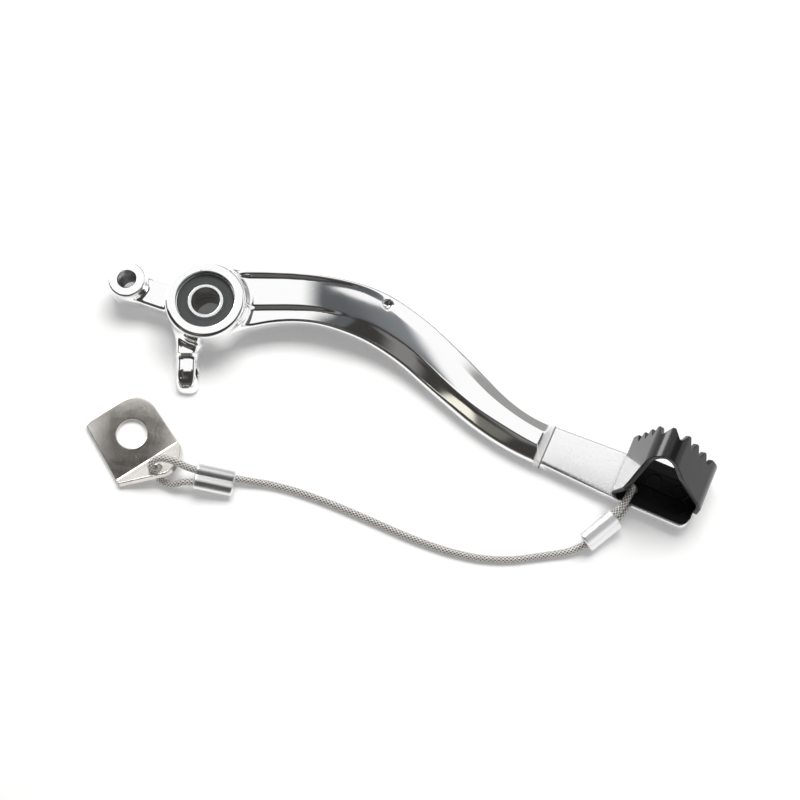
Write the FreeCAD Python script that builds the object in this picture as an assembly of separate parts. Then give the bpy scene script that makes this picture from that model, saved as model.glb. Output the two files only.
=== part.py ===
import FreeCAD, Part
import math
import os
from FreeCAD import Vector

# Motorcycle rear brake pedal with its safety tether. Millimetres.
# Origin: middle of the pivot bore. +Z: along the pivot axis, out of the visible face.
# +X: from the pivot towards the toe end. The pedal lies on the plane through its rear hub face.

# Pivot bearings: two identical sealed ball bearings
BORE_R = 5.0
BEARING_OUTER_R = 11.0
BEARING_WIDTH = 6.0
BEARING_GAP = 3.0
INNER_LAND_R = 6.35
INNER_SHOULDER_R = 6.9
OUTER_SHOULDER_R = 9.2
SEAL_SEAT_R = 10.2
BALL_R = 1.55
BALL_PITCH_R = 8.05
BALL_COUNT = 9
BALL_CLEARANCE = 0.05
CAGE_HALF_HEIGHT = 1.9
CAGE_HALF_WIDTH = 0.65
CAGE_POCKET_CLEARANCE = 0.1
SEAL_THICKNESS = 0.7
SEAL_RECESS = 0.15
SEAL_LIP_CLEARANCE = 0.05
INNER_SPACER_R = 6.6
OUTER_SPACER_WALL = 1.2

# Hub of the lever
HUB_R = 14.4
HUB_LIP_R = 10.4
HUB_LIP = 2.0
HUB_REAR_MARGIN = 2.0
HUB_EDGE_ROUND = 1.1
BORE_CHAMFER = 0.35
CIRCLIP_THICKNESS = 1.2
CIRCLIP_GROOVE_PLAY = 0.05
CIRCLIP_GROOVE_DEPTH = 0.6
CIRCLIP_WIDTH = 1.7
CIRCLIP_GAP_DEG = 40.0
CIRCLIP_EAR_R = 1.5
CIRCLIP_EAR_HOLE_R = 0.6

# Push-rod boss and its web
BOSS_X = -29.0
BOSS_Y = 9.6
BOSS_R = 6.8
BOSS_BORE_R = 3.15
BOSS_TOP_Z = 4.5
BOSS_BOTTOM_Z = -6.5
BOSS_CHAMFER = 0.8
WEB_TOP_Z = 1.0
WEB_BOTTOM_Z = -6.0
WEB_WIDTH_AT_BOSS = 9.8
WEB_WIDTH_AT_HUB = 11.4
WEB_OFFSET = 0.7

# Spring lug: an ear that hangs from the hub, with a cross hole
LUG_LEFT_X = -11.0
LUG_RIGHT_X = -3.3
LUG_ROOT_Z = 0.2
LUG_SHELF_Z = -1.9
LUG_STEP_Y = -16.6
LUG_SHELF_Y = -17.9
LUG_NOSE_R = 7.5
LUG_NOSE_Y = -29.5
LUG_EDGE_CHAMFER = 1.4
LUG_EYE_Y = -22.8
LUG_EYE_Z = -5.6
LUG_EYE_R = 2.2

# Centre line of the arm: straight, clockwise bend, straight, counter-clockwise bend, straight toe pad
ARM_START_Y = 3.2
ARM_LEAD = 27.2
BEND_1_R = 75.0
BEND_1_DEG = 43.0
MIDDLE_LENGTH = 23.8
BEND_2_R = 90.0
BEND_2_DEG = 19.0
PAD_LENGTH = 55.4
ARM_BACK_Z = -9.0
ARM_BACK_CHAMFER = 1.2
ARM_EDGE_ROUND = 0.6
HUB_BLEND_R = 3.2

# Cross sections of the forged arm. Each row: distance along the centre line, then across the
# centre line the upper edge, rim shelf, upper crease, lower crease, step foot and lower edge,
# then the heights of the upper edge, rim shelf, face, step foot and lower edge.
ARM_SECTIONS = [
    (2.0, 9.9, 8.2, 7.0, -3.5, -4.7, -11.8, 5.5, 5.5, 4.0, 2.4, 2.4),
    (14.0, 9.9, 8.2, 7.0, -3.5, -4.7, -11.2, 5.5, 5.5, 4.0, 2.4, 2.4),
    (22.0, 9.7, 8.1, 6.9, -3.4, -4.6, -9.7, 5.5, 5.5, 4.0, 2.4, 2.4),
    (32.0, 9.2, 7.8, 6.7, -3.3, -4.5, -8.9, 5.4, 5.4, 4.0, 2.4, 2.4),
    (42.0, 9.3, 7.9, 6.8, -2.9, -4.0, -8.8, 5.0, 5.0, 3.9, 2.7, 2.4),
    (52.0, 9.8, 8.6, 7.2, -2.4, -4.0, -9.0, 4.2, 4.2, 3.5, 3.0, 1.8),
    (61.0, 10.4, 9.0, 6.2, -2.4, -4.0, -8.9, 2.6, 2.9, 2.8, 2.2, 0.6),
    (70.0, 10.1, 8.2, 4.6, -2.6, -4.2, -8.9, 1.0, 1.3, 1.8, 1.1, -0.8),
    (82.0, 9.9, 8.0, 4.7, -2.7, -4.2, -8.7, -1.0, -0.5, 0.5, -0.3, -2.4),
    (94.0, 9.7, 7.9, 4.5, -3.1, -4.5, -8.6, -2.3, -1.6, -0.3, -1.1, -3.5),
    (106.0, 8.9, 7.3, 3.9, -3.1, -4.5, -8.4, -2.9, -2.2, -0.5, -1.3, -3.9),
    (120.0, 7.6, 6.2, 3.4, -2.4, -3.8, -8.1, -3.1, -2.4, -0.5, -1.3, -4.0),
    (128.0, 7.2, 5.8, 3.0, -2.5, -3.9, -8.0, -3.2, -2.4, -0.5, -1.3, -4.0),
    (134.8, 7.2, 5.7, 2.7, -2.8, -4.2, -7.9, -3.2, -2.3, -0.5, -1.4, -4.0),
]
CREST_DIMPLE_ALONG = 63.2
CREST_DIMPLE_ACROSS = 6.4
CREST_DIMPLE_R = 1.9
CREST_DIMPLE_DEPTH = 1.2

# Toe pad that carries the tip
PAD_TOP_Z = -3.5
PAD_START_HALF = 7.4
PAD_END_HALF = 9.0
PAD_TAPER_LENGTH = 34.0
PAD_EDGE_CHAMFER = 1.2
PAD_CORNER_R = 3.0
PAD_STEP_LENGTH = 2.4

# Tip: one folded strip of sheet steel, toothed along its upper edge
TIP_SHEET = 2.0
TIP_FROM_PAD_START = 27.87
TIP_LENGTH = 27.4
TIP_FOOT_LENGTH = 3.0
TIP_LEFT_LEG_DEG = 74.3
TIP_KNEE_HEIGHT = 9.13
TIP_FOOT_X = -0.55
TIP_FOOT_R = 2.4
TIP_APEX_HEIGHT = 33.9
TIP_CROWN_R = 5.4
TIP_KNEE_R = 9.0
TIP_PLATE_LOWER = -8.9
TIP_PLATE_UPPER = 9.5
TIP_PLATE_CORNER_R = 3.0
TIP_TOOTH_TOP = 13.7
TIP_TOOTH_DEPTH = 2.9
TIP_TOOTH_PITCH = 5.85
TIP_TOOTH_COUNT = 4
TIP_TOOTH_FLAT = 0.9
TIP_VALLEY_FLAT = 0.8
TIP_TRIM_FOOT = -8.0
TIP_TRIM_FOOT_SHARE = 0.3835
TIP_TRIM_FOOT_RISE = 1.8
TIP_TRIM_FOOT_SET = 0.9
TIP_TRIM_CROWN = 3.2
TIP_TRIM_RIGHT = -2.6
TIP_TRIM_RIGHT_SHARE = 0.3245
TIP_TRIM_SHOULDER = -0.2
TIP_TRIM_SHOULDER_SHARE = 0.634
TIP_TRIM_CROWN_DROP = 5.5
TIP_RECESS_R = 2.6
TIP_RECESS_DEPTH = 0.8
TIP_RECESS_LENGTH = 17.0
TIP_BEAD_ACROSS = 5.6
TIP_BEAD_R = 1.6
TIP_BEAD_HEIGHT = 0.6
TIP_BEAD_LENGTH = 15.0
WIRE_HOLE_ALONG = 5.5
WIRE_HOLE_ACROSS = -3.2
WIRE_HOLE_R = 2.0

# Countersunk screws that hold the tip from behind
SCREW_R = 2.5
SCREW_HEAD_R = 4.4
SCREW_HEAD_HEIGHT = 2.2
SCREW_SINK = 0.2
SCREW_CLEARANCE = 0.25
SCREW_THREAD_CLEARANCE = 0.04
SCREW_TIP_GAP = 0.2
SCREW_ACROSS = 2.1
SCREW_ALONG = (11.5, 21.5)
SCREW_SOCKET_R = 1.5
SCREW_SOCKET_DEPTH = 1.6

# Tether: plastic-coated wire rope and two crimped ferrules
WIRE_R = 1.3
FERRULE_LENGTH = 13.8
FERRULE_R = 2.7
FERRULE_SPACING = 3.9
FERRULE_WAIST = 2.3
FERRULE_CLEARANCE = 0.05
TIP_FERRULE_X = 138.3
TIP_FERRULE_Y = -80.7
TIP_FERRULE_Z = -3.7
TIP_FERRULE_HEADING_DEG = 37.4
TIP_FERRULE_PITCH_DEG = 10.0
TIP_FERRULE_ROLL_DEG = 65.0
ANCHOR_FERRULE_X = 4.0
ANCHOR_FERRULE_Y = -62.15
ANCHOR_FERRULE_Z = -5.3
ANCHOR_FERRULE_HEADING_DEG = -9.3
ANCHOR_FERRULE_PITCH_DEG = 12.0
NOTCH_WIDTH = 3.4
NOTCH_DEPTH = 4.4
NOTCH_OVERRUN = 1.0

# Route of the wire between the two ferrules' outer ends, lying on the ground, and its loops
WIRE_EXIT = 2.4
WIRE_OVER_Z = 0.7
WIRE_UNDER_Z = -6.3
WIRE_RUN = [(119.0, -88.6), (104.5, -90.5), (89.5, -88.4), (73.5, -82.8), (56.5, -75.0),
            (40.5, -68.2), (25.5, -63.3)]
WIRE_ANCHOR_LOOP = [(-8.6, -57.2, 0.5), (-15.0, -55.4, 0.3), (-18.5, -57.8, -0.7), (-15.8, -61.8, -7.8),
                    (-10.4, -64.0, -6.6)]

# Anchor bracket: flat plate on the ground with a bent-up ear
BRACKET_THICKNESS = 2.0
BRACKET_HALF_WIDTH = 12.0
BRACKET_FLARE = 1.4
BRACKET_TOP = 12.5
BRACKET_BEND = 11.9
BRACKET_HOLE_R = 5.4
BRACKET_HOLE_X = -26.3
BRACKET_HOLE_Y = -44.6
BRACKET_HEADING_DEG = 34.2
BRACKET_BIG_CORNER_R = 9.0
BRACKET_SMALL_CORNER_R = 2.0
EAR_ANGLE_DEG = 35.0
EAR_BEND_R = 1.5
EAR_DEPTH = 11.8
EAR_PEAK = 3.2
EAR_LEFT_SIDE = 1.8
EAR_RIGHT_SIDE = 2.4
EAR_RIGHT_BULGE = 1.7
EAR_PEAK_ROUND = 2.0
EAR_HOLE_UP = 6.6
EAR_HOLE_SIDE = 0.0
EAR_HOLE_R = 2.5

# Derived heights
STACK_HALF = BEARING_WIDTH + BEARING_GAP / 2
HUB_TOP_Z = STACK_HALF + HUB_LIP
HUB_BACK_Z = -(STACK_HALF + HUB_REAR_MARGIN)
TABLE_Z = HUB_BACK_Z
FRONT_BEARING_Z = (BEARING_WIDTH + BEARING_GAP) / 2
REAR_BEARING_Z = -FRONT_BEARING_Z
PAD_START = ARM_LEAD + math.radians(BEND_1_DEG) * BEND_1_R + MIDDLE_LENGTH \
    + math.radians(BEND_2_DEG) * BEND_2_R
PAD_DEG = BEND_2_DEG - BEND_1_DEG
TIP_LEFT = PAD_START + TIP_FROM_PAD_START
ARM_STRETCH = (PAD_START - PAD_STEP_LENGTH) / ARM_SECTIONS[-1][0]
ARM_ROWS = [(row[0] * ARM_STRETCH,) + row[1:] for row in ARM_SECTIONS]


def centre_line(along):
    """Point and heading in degrees of the arm's centre line at a distance from the pivot."""
    if along <= ARM_LEAD:
        return Vector(along, ARM_START_Y, 0), 0.0
    rest = along - ARM_LEAD
    bend_1 = math.radians(BEND_1_DEG)
    turn = min(rest / BEND_1_R, bend_1)
    point = Vector(ARM_LEAD, ARM_START_Y, 0)
    point += Vector(math.sin(turn), math.cos(turn) - 1, 0) * BEND_1_R
    heading = -turn
    rest -= turn * BEND_1_R
    step = min(rest, MIDDLE_LENGTH)
    point += Vector(math.cos(heading), math.sin(heading), 0) * step
    rest -= step
    turn = min(rest / BEND_2_R, math.radians(BEND_2_DEG))
    end = heading + turn
    point += Vector(math.sin(end) - math.sin(heading), math.cos(heading) - math.cos(end), 0) * BEND_2_R
    rest -= turn * BEND_2_R
    point += Vector(math.cos(end), math.sin(end), 0) * rest
    return point, math.degrees(end)


def on_arm(along, across, height):
    """Point given by its distance along the centre line, across it and above the pivot's middle."""
    point, heading = centre_line(along)
    angle = math.radians(heading)
    return point + Vector(-math.sin(angle), math.cos(angle), 0) * across + Vector(0, 0, height)


def tip_frame():
    """Placement whose X runs along the toe pad, Y across it and Z up, starting at the tip's left foot."""
    origin = on_arm(TIP_LEFT, 0, PAD_TOP_Z)
    return FreeCAD.Placement(origin, FreeCAD.Rotation(Vector(0, 0, 1), PAD_DEG))


def polygon_face(points):
    return Part.Face(Part.makePolygon(points + [points[0]]))


def disc(radius, bottom, top, x=0.0, y=0.0):
    return Part.makeCylinder(radius, top - bottom, Vector(x, y, bottom))


def ring(inner, outer, bottom, top):
    return disc(outer, bottom, top).cut(disc(inner, bottom - 1, top + 1))


def turned(profile):
    """Solid of revolution about the pivot axis from (radius, height) corners."""
    return polygon_face([Vector(r, 0, z) for r, z in profile]).revolve(Vector(0, 0, 0), Vector(0, 0, 1), 360)


def chamfered_bore(radius, bottom, top, chamfer, x=0.0, y=0.0):
    """Cutter for a through hole with a chamfer at both mouths."""
    cutter = disc(radius, bottom - 1, top + 1, x, y)
    wide = radius + chamfer
    upper = Part.makeCone(radius, wide + 1, chamfer + 1, Vector(x, y, top - chamfer), Vector(0, 0, 1))
    lower = Part.makeCone(radius, wide + 1, chamfer + 1, Vector(x, y, bottom + chamfer), Vector(0, 0, -1))
    return cutter.fuse([upper, lower])


def bearing_parts(centre_z):
    """One sealed ball bearing as outer ring, inner ring, balls, cage and two seals."""
    half = BEARING_WIDTH / 2
    groove_r = BALL_R + BALL_CLEARANCE
    groove = Part.makeTorus(BALL_PITCH_R, groove_r)
    seal_depth = SEAL_RECESS + SEAL_THICKNESS
    outer = turned([
        (BEARING_OUTER_R, -half), (BEARING_OUTER_R, half), (SEAL_SEAT_R, half),
        (SEAL_SEAT_R, half - seal_depth), (OUTER_SHOULDER_R, half - seal_depth),
        (OUTER_SHOULDER_R, seal_depth - half), (SEAL_SEAT_R, seal_depth - half), (SEAL_SEAT_R, -half),
    ]).cut(groove)
    inner = turned([
        (BORE_R, -half), (INNER_LAND_R, -half), (INNER_LAND_R, seal_depth - half),
        (INNER_SHOULDER_R, seal_depth - half), (INNER_SHOULDER_R, half - seal_depth),
        (INNER_LAND_R, half - seal_depth), (INNER_LAND_R, half), (BORE_R, half),
    ]).cut(groove)
    cage = ring(BALL_PITCH_R - CAGE_HALF_WIDTH, BALL_PITCH_R + CAGE_HALF_WIDTH,
                -CAGE_HALF_HEIGHT, CAGE_HALF_HEIGHT)
    balls = []
    for index in range(BALL_COUNT):
        angle = 2 * math.pi * index / BALL_COUNT
        place = Vector(math.cos(angle), math.sin(angle), 0) * BALL_PITCH_R
        balls.append(Part.makeSphere(BALL_R, place))
        outward = Vector(math.cos(angle), math.sin(angle), 0)
        cage = cage.cut(Part.makeCylinder(BALL_R + CAGE_POCKET_CLEARANCE, BEARING_OUTER_R, Vector(), outward))
    seals = []
    for side in (1, -1):
        outer_face = side * (half - SEAL_RECESS)
        inner_face = side * (half - seal_depth)
        low, high = sorted((outer_face, inner_face))
        seals.append(ring(INNER_LAND_R + SEAL_LIP_CLEARANCE, SEAL_SEAT_R, low, high))
    parts = {"outer_ring": outer, "inner_ring": inner, "balls": Part.makeCompound(balls),
             "cage": cage, "seal_front": seals[0], "seal_rear": seals[1]}
    for shape in parts.values():
        shape.translate(Vector(0, 0, centre_z))
    return parts


def circlip():
    """Internal retaining ring with two drilled ears at its gap."""
    top = -STACK_HALF
    bottom = top - CIRCLIP_THICKNESS
    outer_r = BEARING_OUTER_R + CIRCLIP_GROOVE_DEPTH - CIRCLIP_GROOVE_PLAY
    inner_r = outer_r - CIRCLIP_WIDTH
    body = ring(inner_r, outer_r, bottom, top)
    half_gap = math.radians(CIRCLIP_GAP_DEG / 2)
    reach = outer_r * 2
    wedge = polygon_face([
        Vector(0, 0, bottom - 1), Vector(reach * math.sin(-half_gap), -reach * math.cos(half_gap), bottom - 1),
        Vector(reach * math.sin(half_gap), -reach * math.cos(half_gap), bottom - 1),
    ]).extrude(Vector(0, 0, CIRCLIP_THICKNESS + 2))
    body = body.cut(wedge)
    ear_r = inner_r + CIRCLIP_WIDTH - CIRCLIP_EAR_R - CIRCLIP_GROOVE_DEPTH
    ear_turn = half_gap + CIRCLIP_EAR_R / ear_r
    for side in (1, -1):
        x = side * ear_r * math.sin(ear_turn)
        y = -ear_r * math.cos(ear_turn)
        body = body.fuse(disc(CIRCLIP_EAR_R, bottom, top, x, y))
        body = body.cut(disc(CIRCLIP_EAR_HOLE_R, bottom - 1, top + 1, x, y))
    return body.removeSplitter()


def hub_body():
    """Turned hub blank with rounded outer edges."""
    e = HUB_EDGE_ROUND
    c = math.sqrt(0.5) * e
    top_mid = Vector(HUB_R - e + c, 0, HUB_TOP_Z - e + c)
    low_mid = Vector(HUB_R - e + c, 0, HUB_BACK_Z + e - c)
    edges = [
        Part.LineSegment(Vector(0, 0, HUB_TOP_Z), Vector(HUB_R - e, 0, HUB_TOP_Z)),
        Part.Arc(Vector(HUB_R - e, 0, HUB_TOP_Z), top_mid, Vector(HUB_R, 0, HUB_TOP_Z - e)),
        Part.LineSegment(Vector(HUB_R, 0, HUB_TOP_Z - e), Vector(HUB_R, 0, HUB_BACK_Z + e)),
        Part.Arc(Vector(HUB_R, 0, HUB_BACK_Z + e), low_mid, Vector(HUB_R - e, 0, HUB_BACK_Z)),
        Part.LineSegment(Vector(HUB_R - e, 0, HUB_BACK_Z), Vector(0, 0, HUB_BACK_Z)),
        Part.LineSegment(Vector(0, 0, HUB_BACK_Z), Vector(0, 0, HUB_TOP_Z)),
    ]
    wire = Part.Wire([edge.toShape() for edge in edges])
    return Part.Face(wire).revolve(Vector(0, 0, 0), Vector(0, 0, 1), 360)


def arm_section(row):
    """Closed section wire of the arm: rim, face, step, lower edge, back."""
    along, upper, shelf, crease_u, crease_l, foot, lower, z_upper, z_shelf, z_face, z_foot, z_lower = row
    e = ARM_EDGE_ROUND
    c = ARM_BACK_CHAMFER
    back = ARM_BACK_Z
    corners = [
        (upper, z_upper - e), (upper - e, z_upper), (shelf, z_shelf), (crease_u, z_face),
        (crease_l, z_face), (foot, z_foot), (lower + e, z_lower), (lower, z_lower - e),
        (lower, back + c), (lower + c, back), (upper - c, back), (upper, back + c),
    ]
    points = [on_arm(along, across, height) for across, height in corners]
    return Part.makePolygon(points + [points[0]])


def arm_body():
    """Lofted arm, its end slope down to the toe pad, and the blend ring round the hub."""
    body = Part.makeLoft([arm_section(row) for row in ARM_ROWS], True, False)
    last = ARM_ROWS[-1]
    sunk = PAD_TOP_Z - 0.1
    slope_end = (last[0] + PAD_STEP_LENGTH,) + last[1:7] + tuple(min(z, sunk) for z in last[7:])
    slope = Part.makeLoft([arm_section(last), arm_section(slope_end)], True, True)
    return body, slope


def hub_blend():
    """Concave ring between the hub's wall and the arm's face, kept to the arm's outline."""
    face_z = ARM_ROWS[0][9]
    r = HUB_BLEND_R
    wide = HUB_R + r
    bend = math.sqrt(0.5) * r
    floor_z = ARM_ROWS[0][10] - 1
    edges = [
        Part.LineSegment(Vector(HUB_R - 1, 0, floor_z), Vector(wide, 0, floor_z)),
        Part.LineSegment(Vector(wide, 0, floor_z), Vector(wide, 0, face_z)),
        Part.Arc(Vector(wide, 0, face_z), Vector(wide - bend, 0, face_z + r - bend),
                 Vector(HUB_R, 0, face_z + r)),
        Part.LineSegment(Vector(HUB_R, 0, face_z + r), Vector(HUB_R - 1, 0, face_z + r)),
        Part.LineSegment(Vector(HUB_R - 1, 0, face_z + r), Vector(HUB_R - 1, 0, floor_z)),
    ]
    wire = Part.Wire([edge.toShape() for edge in edges])
    ring_solid = Part.Face(wire).revolve(Vector(0, 0, 0), Vector(0, 0, 1), 360)
    near = [row for row in ARM_ROWS if row[0] <= ARM_LEAD]
    upper_side = [on_arm(row[0], row[1] - 0.01, floor_z - 1) for row in near]
    lower_side = [on_arm(row[0], row[6] + 0.01, floor_z - 1) for row in reversed(near)]
    footprint = polygon_face(upper_side + lower_side).extrude(Vector(0, 0, r + face_z + 3))
    return ring_solid.common(footprint)


def pad_body():
    """Tapered toe pad with chamfered top edges and rounded end corners."""
    start = PAD_START - PAD_STEP_LENGTH
    end = PAD_START + PAD_LENGTH
    knee = PAD_START + PAD_TAPER_LENGTH

    def outline(inset, height):
        r = PAD_CORNER_R - inset
        tip = end - inset
        half = PAD_END_HALF - inset
        k = r * (1 - math.sqrt(0.5))
        spots = {
            "a": on_arm(start, PAD_START_HALF - inset, height), "b": on_arm(knee, half, height),
            "c": on_arm(tip - r, half, height), "cd": on_arm(tip - k, half - k, height),
            "d": on_arm(tip, half - r, height), "e": on_arm(tip, r - half, height),
            "ef": on_arm(tip - k, k - half, height), "f": on_arm(tip - r, -half, height),
            "g": on_arm(knee, -half, height), "h": on_arm(start, inset - PAD_START_HALF, height),
        }
        return Part.Wire([
            Part.makeLine(spots["a"], spots["b"]), Part.makeLine(spots["b"], spots["c"]),
            Part.Arc(spots["c"], spots["cd"], spots["d"]).toShape(), Part.makeLine(spots["d"], spots["e"]),
            Part.Arc(spots["e"], spots["ef"], spots["f"]).toShape(), Part.makeLine(spots["f"], spots["g"]),
            Part.makeLine(spots["g"], spots["h"]), Part.makeLine(spots["h"], spots["a"]),
        ])

    shoulder = PAD_TOP_Z - PAD_EDGE_CHAMFER
    base = Part.Face(outline(0, TABLE_Z)).extrude(Vector(0, 0, shoulder - TABLE_Z))
    crown = Part.makeLoft([outline(0, shoulder), outline(PAD_EDGE_CHAMFER, PAD_TOP_Z)], True, True)
    return base.fuse(crown)


def boss_body():
    """Push-rod boss with chamfered faces, and the web that joins it to the hub."""
    c = BOSS_CHAMFER
    boss = disc(BOSS_R, BOSS_BOTTOM_Z + c, BOSS_TOP_Z - c, BOSS_X, BOSS_Y)
    top_cone = Part.makeCone(BOSS_R, BOSS_R - c, c, Vector(BOSS_X, BOSS_Y, BOSS_TOP_Z - c))
    low_cone = Part.makeCone(BOSS_R, BOSS_R - c, c, Vector(BOSS_X, BOSS_Y, BOSS_BOTTOM_Z + c),
                             Vector(0, 0, -1))
    away = Vector(BOSS_X, BOSS_Y, 0)
    reach = away.Length
    away.normalize()
    side = Vector(-away.y, away.x, 0)
    hub_side = away * (HUB_R - 4) + side * WEB_OFFSET
    boss_side = away * reach + side * WEB_OFFSET
    half_hub = side * (WEB_WIDTH_AT_HUB / 2)
    half_boss = side * (WEB_WIDTH_AT_BOSS / 2)
    floor = Vector(0, 0, WEB_BOTTOM_Z)
    web = polygon_face([hub_side + half_hub + floor, boss_side + half_boss + floor,
                        boss_side - half_boss + floor, hub_side - half_hub + floor])
    return [boss, top_cone, low_cone, web.extrude(Vector(0, 0, WEB_TOP_Z - WEB_BOTTOM_Z))]


def lug_body():
    """Ear below the hub: root facet, step, shelf and a rounded nose, drilled across."""
    centre_y = LUG_NOSE_Y + LUG_NOSE_R
    nose_z = LUG_SHELF_Z - LUG_NOSE_R
    bend = math.sqrt(0.5) * LUG_NOSE_R

    def point(y, z):
        return Vector(LUG_LEFT_X, y, z)

    root_y = -HUB_R + 4
    edges = [
        Part.makeLine(point(root_y, TABLE_Z), point(root_y, LUG_ROOT_Z)),
        Part.makeLine(point(root_y, LUG_ROOT_Z), point(LUG_STEP_Y, LUG_ROOT_Z)),
        Part.makeLine(point(LUG_STEP_Y, LUG_ROOT_Z), point(LUG_SHELF_Y, LUG_SHELF_Z)),
        Part.makeLine(point(LUG_SHELF_Y, LUG_SHELF_Z), point(centre_y, LUG_SHELF_Z)),
        Part.Arc(point(centre_y, LUG_SHELF_Z), point(centre_y - bend, nose_z + bend),
                 point(LUG_NOSE_Y, nose_z)).toShape(),
        Part.makeLine(point(LUG_NOSE_Y, nose_z), point(LUG_NOSE_Y, TABLE_Z)),
        Part.makeLine(point(LUG_NOSE_Y, TABLE_Z), point(root_y, TABLE_Z)),
    ]
    body = Part.Face(Part.Wire(edges)).extrude(Vector(LUG_RIGHT_X - LUG_LEFT_X, 0, 0))
    nose_edges = []
    for edge in body.Edges:
        centre = edge.CenterOfMass
        flank = min(abs(centre.x - LUG_LEFT_X), abs(centre.x - LUG_RIGHT_X)) < 0.01
        if flank and centre.y < LUG_SHELF_Y and centre.z > TABLE_Z + 0.1:
            nose_edges.append(edge)
    return body.makeChamfer(LUG_EDGE_CHAMFER, nose_edges)


def screw_placement(index):
    """Seat of one tip screw: origin on the pad's back, Z into the lever."""
    local = Vector(SCREW_ALONG[index], SCREW_ACROSS, TABLE_Z - PAD_TOP_Z)
    return tip_frame().multVec(local)


def screw_hole(index):
    """Clearance hole and countersink in the toe pad."""
    seat = screw_placement(index)
    hole_r = SCREW_R + SCREW_CLEARANCE
    wide = SCREW_HEAD_R + SCREW_CLEARANCE
    hole = Part.makeCylinder(hole_r, PAD_TOP_Z - TABLE_Z + 2, seat - Vector(0, 0, 1))
    drop = SCREW_HEAD_HEIGHT + SCREW_CLEARANCE
    sink = Part.makeCone(wide, hole_r, drop, seat + Vector(0, 0, SCREW_SINK - SCREW_CLEARANCE))
    mouth = Part.makeCylinder(wide, 1 + SCREW_SINK - SCREW_CLEARANCE, seat - Vector(0, 0, 1))
    return hole.fuse([sink, mouth])


def wire_notch():
    """Groove in the pad's face, under the tip's plate, for the returning wire."""
    frame = tip_frame()
    half = NOTCH_WIDTH / 2
    back = WIRE_HOLE_ACROSS + NOTCH_OVERRUN
    reach = 2 * PAD_END_HALF
    groove = Part.makeBox(NOTCH_WIDTH, reach, NOTCH_DEPTH + 1,
                          Vector(WIRE_HOLE_ALONG - half, back - reach, -NOTCH_DEPTH))
    end = Part.makeCylinder(half, NOTCH_DEPTH + 1, Vector(WIRE_HOLE_ALONG, back, -NOTCH_DEPTH))
    cutter = groove.fuse(end)
    cutter.Placement = frame
    return cutter


def lever():
    arm, slope = arm_body()
    boss_parts = boss_body()
    body = hub_body().fuse([arm, slope, pad_body(), hub_blend(), lug_body()] + boss_parts)
    groove_low = -STACK_HALF - CIRCLIP_THICKNESS - CIRCLIP_GROOVE_PLAY
    groove_r = BEARING_OUTER_R + CIRCLIP_GROOVE_DEPTH
    cutters = [
        disc(BEARING_OUTER_R, HUB_BACK_Z - 1, STACK_HALF),
        disc(HUB_LIP_R, STACK_HALF - 1, HUB_TOP_Z + 1),
        Part.makeCone(HUB_LIP_R, HUB_LIP_R + BORE_CHAMFER + 1, BORE_CHAMFER + 1,
                      Vector(0, 0, HUB_TOP_Z - BORE_CHAMFER)),
        disc(groove_r, groove_low, -STACK_HALF),
        chamfered_bore(BOSS_BORE_R, BOSS_BOTTOM_Z, BOSS_TOP_Z, BORE_CHAMFER, BOSS_X, BOSS_Y),
        Part.makeCylinder(LUG_EYE_R, LUG_RIGHT_X - LUG_LEFT_X + 2,
                          Vector(LUG_LEFT_X - 1, LUG_EYE_Y, LUG_EYE_Z), Vector(1, 0, 0)),
        wire_notch(),
    ]
    cutters += [screw_hole(index) for index in range(len(SCREW_ALONG))]
    dimple = on_arm(CREST_DIMPLE_ALONG * ARM_STRETCH, CREST_DIMPLE_ACROSS, 0)
    face_z = ARM_ROWS[6][9]
    cutters.append(disc(CREST_DIMPLE_R, face_z - CREST_DIMPLE_DEPTH, face_z + 4, dimple.x, dimple.y))
    for cutter in cutters:
        body = body.cut(cutter)
    return body.removeSplitter()


def bent_strip(corners, radii, thickness):
    """Closed section of a bent sheet: its middle line turns at each corner on the given radius."""
    count = len(corners)
    directions = [(corners[i + 1] - corners[i]).normalize() for i in range(count - 1)]
    sides = []
    for offset in (thickness / 2, -thickness / 2):
        edges = []
        start = corners[0] + Vector(-directions[0].z, 0, directions[0].x) * offset
        for i in range(1, count - 1):
            before = directions[i - 1]
            after = directions[i]
            turn = before.getAngle(after)
            sign = 1 if before.x * after.z - before.z * after.x > 0 else -1
            reach = radii[i - 1] * math.tan(turn / 2)
            normal_in = Vector(-before.z, 0, before.x)
            normal_out = Vector(-after.z, 0, after.x)
            centre = corners[i] - before * reach + normal_in * (sign * radii[i - 1])
            arc_r = radii[i - 1] - sign * offset
            middle = (normal_in + normal_out).normalize()
            arc_start = centre - normal_in * (sign * arc_r)
            arc_middle = centre - middle * (sign * arc_r)
            arc_end = centre - normal_out * (sign * arc_r)
            edges.append(Part.makeLine(start, arc_start))
            edges.append(Part.Arc(arc_start, arc_middle, arc_end).toShape())
            start = arc_end
        last = directions[-1]
        end = corners[-1] + Vector(-last.z, 0, last.x) * offset
        edges.append(Part.makeLine(start, end))
        sides.append((edges, corners[0] + Vector(-directions[0].z, 0, directions[0].x) * offset, end))
    caps = [Part.makeLine(sides[0][1], sides[1][1]), Part.makeLine(sides[0][2], sides[1][2])]
    return Part.Face(Part.Wire(Part.__sortEdges__(sides[0][0] + sides[1][0] + caps)))


def tip_corners():
    """Corners of the strip's middle line in the tip's frame, from the plate's free end round to its closure."""
    mid = TIP_SHEET / 2
    left = math.radians(TIP_LEFT_LEG_DEG)
    rise = TIP_APEX_HEIGHT - mid
    apex = Vector(TIP_FOOT_X + rise / math.tan(left), 0, TIP_APEX_HEIGHT)
    end_x = TIP_LENGTH + mid
    knee = Vector(end_x, 0, TIP_KNEE_HEIGHT)
    return [Vector(TIP_FOOT_LENGTH, 0, mid), Vector(TIP_FOOT_X, 0, mid), apex, knee, Vector(end_x, 0, 0)]


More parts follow.
